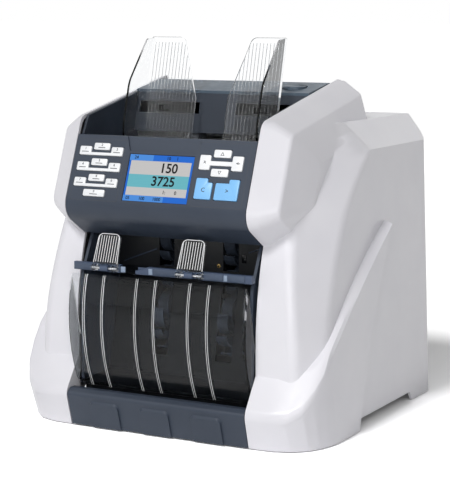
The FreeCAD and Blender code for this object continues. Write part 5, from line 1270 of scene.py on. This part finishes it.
    def function_keys(self) -> None:
        """Make the arrow keys, the H-shaped key and the two large blue keys."""
        left, width, height = self.arrow
        for node, low, points_up in zip(("key_up", "key_down"), self.arrow_lows, (True, False)):
            self.key(node, box_outline(left, low, width, height), Palette.key_white, Slot.KEY_WHITE)
            self.arrow_sign(node, left + width / 2, low + height / 2, points_up)
        self.key("key_escape_enter", self.link_outline(), Palette.key_white, Slot.KEY_WHITE)
        first, last, block = self.link
        level = (self.link_levels[0] + self.link_levels[3]) / 2
        cross = Sign("x", self.cross_height, first + block / 2, level + self.cross_lift)
        tip = Sign("<", self.return_height, last - block / 2, level)
        shift, length = self.return_tail
        self.legend("key_escape_enter", [cross, tip], [(tip.x + shift, level, length)])
        clear, start = self.wide_outlines()
        large = (("key_clear", clear, self.clear_sign), ("key_start", start, self.start_sign))
        for node, outline, sign in large:
            self.key(node, outline, Palette.key_blue, Slot.KEY_BLUE)
            self.legend(node, [sign])

    def grooves(self) -> None:
        """Lay a thin flat line round each group of keys, dark as painted shade of an engraved groove."""
        half = self.groove_half
        for name, (left, right, low, top) in self.groove_frames:
            wide, tall = right - left + 2 * half, top - low + 2 * half
            across = [box_outline(left - half, up - half, wide, 2 * half) for up in (low, top)]
            upright = [box_outline(x - half, low - half, 2 * half, tall) for x in (left, right)]
            mesh = plates(name, across + upright, self.groove_form, self.place)
            # The lines' dark tone is painted shade of an engraved groove
            add_piece(mesh, Palette.groove, ROOT, Slot.SLATE)

    def display(self) -> None:
        """Make the picture on the display: coloured areas with plain counts."""
        for area in self.areas:
            level = self.screen_level + self.layer_pitch * area.layer
            form = PlateForm(level - self.area_thick, level)
            mesh = plates(area.name, [box_outline(*area.box)], form, self.place)
            add_piece(mesh, area.finish, ROOT, Slot.SCREEN)
        shape = bmesh.new()
        for numeral in self.numerals:
            add_sign(shape, numeral, self.numeral_level)
        add_piece(finished_mesh("screen_digits", shape, self.place), Palette.screen_ink, ROOT, Slot.SCREEN)

    def build(self) -> None:
        """Make and finish the whole panel."""
        dress(Palette.slate, Bevel.NONE, "control_panel")
        dress(Palette.lens, Bevel.FINE, "display_module")
        dress(Palette.board, Bevel.NONE, "keypad_boards")
        self.number_keys()
        self.function_keys()
        self.grooves()
        self.display()


@dataclass
class Hopper:
    """Feed hopper with its sliding clear guides, and the deck behind it."""

    guide_foot: Triple = (0.0, -55.7, 286.0)
    guide_lean: float = 14.0
    rib_first: float = 22.0
    ribs: RibRow = RibRow(
        pitch=4.0, count=14, radius=0.4, foot=4.0, length=104.0, first_share=0.52, share_step=0.115
    )

    def guide_ribs(self, side: int, body: str) -> None:
        """Grow the fine upright ribs on the front of a guide.

        Args:
            side: 1 for the right guide, -1 for the left one.
            body: The guide's body.
        """
        start = Matrix.Translation(Vector((side * self.rib_first, self.ribs.foot, 0.0)) * MM)
        place = frame_matrix(self.guide_foot, self.guide_lean) @ start
        mesh = self.ribs.grow(f"{body}_ribs", Palette.guide, place, side)
        add_piece(mesh, Palette.guide, body, Slot.GUIDE)

    def build(self) -> None:
        """Finish the hopper and rib its guides."""
        self.guide_ribs(1, "guide_right")
        self.guide_ribs(-1, "guide_left")
        dress(Palette.hopper, Bevel.FINE, "hopper_tray", "hopper_back")
        dress(Palette.deck, Bevel.SMALL, "top_deck", "gap_knob")
        dress(Palette.steel, Bevel.NONE, "guide_rod")
        dress(Palette.guide, Bevel.FINE, "guide_right", "guide_left")


@dataclass
class Pockets:
    """Reject pocket with its clear stops, and the stacker behind its clear door."""

    # Stops: place of the pins, lean, and the ribs on their fronts
    stops: tuple[tuple[float, str], ...] = ((-63.0, "reject_stop_left"), (35.0, "reject_stop_right"))
    stop_pin: Pair = (-152.6, 166.5)
    stop_lean: float = 19.0
    stop_face: float = 1.0
    ribs: RibRow = RibRow(pitch=2.9, count=9, radius=0.38, foot=6.0, length=27.5)

    # Bead round a stop, a whitish line that paints the highlight of its edge: half widths and heights of its
    # foot and its top
    rim_half: Pair = (14.0, 12.6)
    rim_height: Pair = (5.0, 35.4)
    rim_corner: float = 5.6
    rim_step: int = 15
    rim_radius: float = 0.45

    # Door: depth and height at the foot, middle and top of its curve, and its paired ribs, along whose edges
    # whitish strips paint highlights
    door_curve: tuple[Pair, Pair, Pair] = ((-147.7, 43.5), (-164.1, 108.0), (-157.6, 159.6))
    door_rib_first: float = -83.0
    door_rib_width: float = 2.0
    door_bay: float = 21.5
    door_pitch: float = 60.5
    door_edges: int = 12
    door_edge_radius: float = 0.3

    # Tray lip: left and right ends of its pads and facets
    lip_front: float = -149.0
    lip_low: float = 162.5
    lip_margin: float = 0.7
    pads: tuple[Pair, ...] = ((-101.5, -47.0), (-8.0, 71.0), (76.5, 95.0))
    pad_height: float = 6.6
    pad_form: PlateForm = PlateForm(-0.2, 0.7, 0.8, 0.35)
    facets: tuple[Pair, ...] = ((-46.0, -40.5), (-13.5, -9.0), (71.8, 75.8))
    facet_height: float = 6.0
    facet_form: PlateForm = PlateForm(-0.2, 0.9, 0.6, 0.5)

    # Apron, a near black sheet that paints the shade seen under the door: left, low, width and height
    apron: Box = (-103.4, 12.6, 206.8, 28.8)
    apron_y: float = -127.9
    apron_form: PlateForm = PlateForm(-0.4, 0.4)

    # Back wall: eyelet, window, and the ends of its slanting ribs
    wall_y: float = -71.0
    eyelet: Pair = (24.0, 164.0)
    eyelet_radius: float = 2.0
    eyelet_bore: float = 0.5
    eyelet_levels: Pair = (0.6, 0.9)
    eyelet_sides: int = 24
    window: Box = (50.5, 169.0, 5.5, 8.5)
    window_form: PlateForm = PlateForm(-0.2, 0.4, 0.6, 0.2)
    wall_ribs: tuple[Box, ...] = ((-90.0, 161.5, -49.5, 177.0), (58.5, 180.0, 94.0, 193.5))
    wall_rib_half: float = 0.6
    wall_rib_form: PlateForm = PlateForm(-0.2, 0.9, 0.0, 0.3)

    def stop_place(self, middle: float) -> Matrix:
        """Frame of a stop, with its origin on the stop's pin."""
        return frame_matrix((middle, *self.stop_pin), self.stop_lean)

    def stop_ribs(self, middle: float, body: str) -> None:
        """Grow the upright ribs on the front of a stop, in whitish plastic whose paleness paints the
        highlights along them.

        Args:
            middle: The stop's place across the machine.
            body: Its body.
        """
        half = self.ribs.pitch * (self.ribs.count - 1) / 2
        start = Matrix.Translation(Vector((-half, self.ribs.foot, self.stop_face)) * MM)
        mesh = self.ribs.grow(f"{body}_ribs", Palette.rib, self.stop_place(middle) @ start)
        # Real ribs, with painted highlights in their whitish finish
        add_piece(mesh, Palette.rib, body, Slot.GUIDE)

    def stop_rim_highlight(self, middle: float, body: str) -> None:
        """Run a whitish bead round the sides and the rounded top of a stop: a painted highlight of its edge.

        Args:
            middle: The stop's place across the machine.
            body: Its body.
        """
        (foot, top), (low, high), corner = self.rim_half, self.rim_height, self.rim_corner
        turns = [math.radians(angle) for angle in range(0, 91, self.rim_step)]
        round_top = [(top - corner * (1 - math.cos(t)), high - corner * (1 - math.sin(t))) for t in turns]
        half = [(foot, low), *round_top]
        path = half + [(-x, y) for x, y in reversed(half)]
        front = Matrix.Translation((0.0, 0.0, self.stop_face * MM))
        mesh = bead_mesh(f"{body}_rim", path, self.rim_radius, self.stop_place(middle) @ front)
        # The bead is a painted highlight of the stop's edge
        add_piece(mesh, Palette.rib, body, Slot.GUIDE)

    def door_rib_edges(self) -> None:
        """Grow whitish strips up the door's curve along the ribs' edges: painted highlights of those edges.
        """
        low, middle, top = [(0.0, y * MM, z * MM) for y, z in self.door_curve]
        inputs = {
            "Low": low,
            "Middle": middle,
            "Top": top,
            "First": self.door_rib_first * MM,
            "Pair Pitch": self.door_pitch * MM,
            "Bay": self.door_bay * MM,
            "Rib Width": self.door_rib_width * MM,
            "Radius": self.door_edge_radius * MM,
            "Count": self.door_edges,
            "Finish": Palette.rib.material(),
        }
        mesh = grown_mesh("stacker_door_rib_edges", rib_edge_highlight_tree(), inputs, Matrix())
        # The strips are painted highlights of the ribs' edges
        add_piece(mesh, Palette.rib, "stacker_door", Slot.CLEAR)

    def lip_facets(self) -> None:
        """Face the tray's lip with raised pads on each side of the dip and facets at their ends; the facets
        are painted paler as lit patches.
        """
        place = frame_matrix((0.0, self.lip_front, self.lip_low), 0.0)
        for name, ends, height, form, finish in (
            ("lip_pads", self.pads, self.pad_height, self.pad_form, Palette.pocket),
            # The facets' paler finish is painted light on them
            ("lip_facets", self.facets, self.facet_height, self.facet_form, Palette.facet),
        ):
            outlines = [box_outline(left, self.lip_margin, right - left, height) for left, right in ends]
            add_piece(plates(name, outlines, form, place), finish, ROOT, Slot.DECK)

    def stacker_shade_apron(self) -> None:
        """Stand a near black apron on the front of the base plate, behind the swing of the door: a sheet of
        painted shade under the door.
        """
        place = frame_matrix((0.0, self.apron_y, 0.0), 0.0)
        mesh = plates("stacker_shade_apron", [box_outline(*self.apron)], self.apron_form, place)
        # Painted shade under the door
        add_piece(mesh, Palette.stack, ROOT, Slot.BLACK)

    def eyelet_ring(self) -> Shape:
        """Make the eyelet: a ring that rises towards its bore.

        Returns:
            The ring.
        """
        low, top = self.eyelet_levels
        ring = bmesh.new()
        bmesh.ops.create_circle(ring, segments=self.eyelet_sides, radius=self.eyelet_radius)
        bmesh.ops.translate(ring, verts=ring.verts, vec=(*self.eyelet, low))
        inner = bmesh.ops.extrude_edge_only(ring, edges=ring.edges[:])
        middle = Vector((*self.eyelet, top))
        for vert in inner["geom"]:
            if isinstance(vert, bmesh.types.BMVert):
                vert.co = middle + (vert.co - middle) * self.eyelet_bore
        return ring

    def wall_rib_outline(self, ends: Box) -> Outline:
        """Outline of a thin rib between two points of the wall.

        Args:
            ends: Place and height of one end, then of the other.

        Returns:
            Its corners, anticlockwise.
        """
        start, end = Vector(ends[:2]), Vector(ends[2:])
        along = end - start
        across = Vector((-along.y, along.x)).normalized() * self.wall_rib_half
        return [tuple(start - across), tuple(end - across), tuple(end + across), tuple(start + across)]

    def back_wall(self) -> None:
        """Add the reject pocket's eyelet, window and slanting ribs to its back wall."""
        place = frame_matrix((0.0, self.wall_y, 0.0), 0.0)
        ring = finished_mesh("pocket_eyelet", self.eyelet_ring(), place)
        add_piece(ring, Palette.brass, ROOT, Slot.STEEL)
        pane = plates("pocket_window", [box_outline(*self.window)], self.window_form, place)
        add_piece(pane, Palette.lens, ROOT, Slot.SCREEN)
        outlines = [self.wall_rib_outline(ends) for ends in self.wall_ribs]
        ribs = plates("pocket_wall_ribs", outlines, self.wall_rib_form, place)
        add_piece(ribs, Palette.pocket, ROOT, Slot.DECK)

    def build(self) -> None:
        """Finish both pockets."""
        self.door_rib_edges()
        self.lip_facets()
        self.stacker_shade_apron()
        self.back_wall()
        for middle, body in self.stops:
            self.stop_ribs(middle, body)
            self.stop_rim_highlight(middle, body)
        # Near black behind the lip: painted shade inside the reject pocket
        dress(Palette.tray, Bevel.FINE, "reject_tray")
        dress(Palette.slate, Bevel.SMALL, "pocket_cheeks")
        # Nearly black stacker plate: painted shade deep inside the stacker
        dress(Palette.stack, Bevel.FINE, "stacker_plate")
        dress(Palette.clear, Bevel.FINE, "stacker_door")
        dress(Palette.stop, Bevel.FINE, "reject_stop_left", "reject_stop_right")
        dress(Palette.steel, Bevel.NONE, "hinge_pins")


@dataclass
class NotePath:
    """Rollers, drum, wheels and their drive between the side frames."""

    # Depth and height of the axes
    rollers: tuple[tuple[str, Pair], ...] = (
        ("pickup_roller", (-91.0, 274.8)), ("feed_roller", (-42.0, 259.5)),
        ("retard_roller", (-25.6, 287.3)), ("pinch_roller", (89.0, 172.0)),
    )
    impellers: tuple[tuple[str, Pair], ...] = (
        ("stacker_wheels", (-59.0, 100.0)), ("reject_wheels", (-48.0, 180.0)),
    )
    shaft_radius: float = 4.4
    tyre: str = "#3A3D42"
    fin: str = "#2B3442"

    def build(self) -> None:
        """Finish the mechanism."""
        for node, axis in self.rollers:
            dress(TyredShaft(f"rubber_tyre_{node}", axis, self.shaft_radius, self.tyre), Bevel.FINE, node)
        for node, axis in self.impellers:
            dress(TyredShaft(f"impeller_rubber_{node}", axis, self.shaft_radius, self.fin), Bevel.NONE, node)
        dress(Palette.aluminium, Bevel.FINE, "transport_drum", "motor_pulley")
        dress(Palette.steel, Bevel.NONE, "diverter_gate", "tie_bars")
        dress(Palette.zinc, Bevel.NONE, "side_frame_right", "side_frame_left", "note_chutes")
        dress(Palette.rubber, Bevel.NONE, "drive_belts")
        dress(Palette.motor, Bevel.SMALL, "drive_motor")
        dress(Palette.black, Bevel.FINE, "sensor_bars")


@dataclass
class Electrics:
    """Boards, supply, sockets and the power switch."""

    def build(self) -> None:
        """Finish the electrics."""
        dress(Palette.board, Bevel.NONE, "main_board")
        dress(Palette.zinc, Bevel.SMALL, "power_supply")
        dress(Palette.black, Bevel.FINE, "rear_sockets", "power_switch", "power_rocker")


# Stage


@dataclass(frozen=True)
class SoftBox:
    """A square lamp: its place and width in metres, and its power in watts."""

    name: str
    place: Triple
    width: float
    power: float


@dataclass
class Stage:
    """Pale floor, soft light and the camera."""

    target: Triple = (-3.8, -6.5, 168.1)
    camera_place: Triple = (817.8, -1529.2, 426.4)
    lens: float = 116.7
    sensor: float = 36.0
    white: str = "#FFFFFF"
    fill: float = 0.11

    # Half the floor's width, its drop below the feet so that the two don't flicker, and its lift in tone
    floor_half: float = 40000.0
    floor_drop: float = 0.2
    floor_gain: float = 1.15

    # Key light: where it comes from, its strength and its width in degrees
    sun_from: Triple = (-0.09, -0.71, 0.69)
    sun_power: float = 1.72
    sun_width: float = 14.0
    sun_bounces: int = 2

    # Soft lamps and the point that they face, in metres
    lamp_target: Triple = (0.0, 0.0, 0.18)
    lamps: tuple[SoftBox, ...] = (
        SoftBox("front_box", (1.2, -2.2, 0.8), 1.4, 21.0), SoftBox("back_box", (0.7, 2.6, 1.2), 1.4, 5.0),
    )

    def aim(self, thing: bpy.types.Object, way: Vector) -> None:
        """Turn a lamp or the camera to look along a direction."""
        thing.rotation_mode = "QUATERNION"
        thing.rotation_quaternion = way.to_track_quat("-Z", "Y")

    def camera(self) -> None:
        """Set the camera at the photograph's angle."""
        data = bpy.data.cameras.new("camera")
        data.lens = self.lens
        data.sensor_width = self.sensor
        camera = put("camera", data)
        camera.location = Vector(self.camera_place) * MM
        self.aim(camera, (Vector(self.target) - Vector(self.camera_place)) * MM)
        bpy.context.scene.camera = camera

    def seen_rays(self, tree: Tree) -> Socket:
        """Pick out the rays by which the background is seen, bare, mirrored or through clear plastic.

        Args:
            tree: The node tree of the world or the floor.

        Returns:
            A socket that is 1 for those rays and 0 for the rest.
        """
        rays = add_node(tree, "ShaderNodeLightPath").outputs
        seen = rays["Is Camera Ray"]
        for kind in ("Is Transmission Ray", "Is Glossy Ray"):
            seen = add_node(tree, "ShaderNodeMath", {0: seen, 1: rays[kind]}, operation="MAXIMUM").outputs[0]
        return seen

    def floor_material(self) -> bpy.types.Material:
        """Make a matt white that is seen as a pale floor and still keeps shadows.

        Returns:
            The material.
        """
        material = bpy.data.materials.new("pale_floor")
        material.use_nodes = True
        tree = material.node_tree
        tree.nodes.clear()
        matt = add_node(tree, "ShaderNodeBsdfDiffuse", {"Color": linear(self.white)})
        gain = {0: self.seen_rays(tree), 1: self.floor_gain}
        lift = add_node(tree, "ShaderNodeMath", gain, operation="MULTIPLY").outputs[0]
        pale = add_node(tree, "ShaderNodeBsdfDiffuse", {"Color": lift})
        both = add_node(tree, "ShaderNodeAddShader", {0: matt.outputs[0], 1: pale.outputs[0]})
        add_node(tree, "ShaderNodeOutputMaterial", {"Surface": both.outputs[0]})
        return material

    def floor(self) -> None:
        """Lay a pale floor that keeps the machine's shadow."""
        half, level = self.floor_half * MM, -self.floor_drop * MM
        shape = bmesh.new()
        corners = box_outline(-half, -half, 2 * half, 2 * half)
        shape.faces.new([shape.verts.new((x, y, level)) for x, y in corners])
        mesh = bpy.data.meshes.new("floor")
        shape.to_mesh(mesh)
        shape.free()
        mesh.materials.append(self.floor_material())
        put("floor", mesh)

    def lamp(self, box: SoftBox) -> None:
        """Add a soft square lamp that faces the machine.

        Args:
            box: The lamp.
        """
        data = bpy.data.lights.new(box.name, "AREA")
        data.size = box.width
        data.energy = box.power
        lamp = put(box.name, data)
        lamp.location = box.place
        self.aim(lamp, Vector(self.lamp_target) - Vector(box.place))

    def sun(self) -> None:
        """Add the key light: a broad sun from the front, which lights the floor evenly."""
        data = bpy.data.lights.new("key_light", "SUN")
        data.energy = self.sun_power
        data.angle = math.radians(self.sun_width)
        data.cycles.max_bounces = self.sun_bounces
        self.aim(put("key_light", data), -Vector(self.sun_from))

    def world(self) -> None:
        """Add a fill light from all round, seen as white, bare, mirrored or through clear plastic."""
        world = bpy.data.worlds.new("studio")
        bpy.context.scene.world = world
        world.use_nodes = True
        tree = world.node_tree
        tree.nodes.clear()
        levels = {"Value": self.seen_rays(tree), "To Min": self.fill, "To Max": 1.0}
        strength = add_node(tree, "ShaderNodeMapRange", levels).outputs["Result"]
        back = add_node(tree, "ShaderNodeBackground", {"Color": linear(self.white), "Strength": strength})
        add_node(tree, "ShaderNodeOutputWorld", {"Surface": back.outputs[0]})

    def build(self) -> None:
        """Set up the whole stage."""
        bpy.context.scene.view_settings.view_transform = "Standard"
        self.camera()
        self.floor()
        self.world()
        self.sun()
        for box in self.lamps:
            self.lamp(box)


def main() -> None:
    """Build the sub-assemblies in order, then the stage."""
    logging.basicConfig(level=logging.INFO)
    for assembly in (Casing(), ControlPanel(), Hopper(), Pockets(), NotePath(), Electrics(), Stage()):
        assembly.build()


if __name__ == "__main__":
    main()
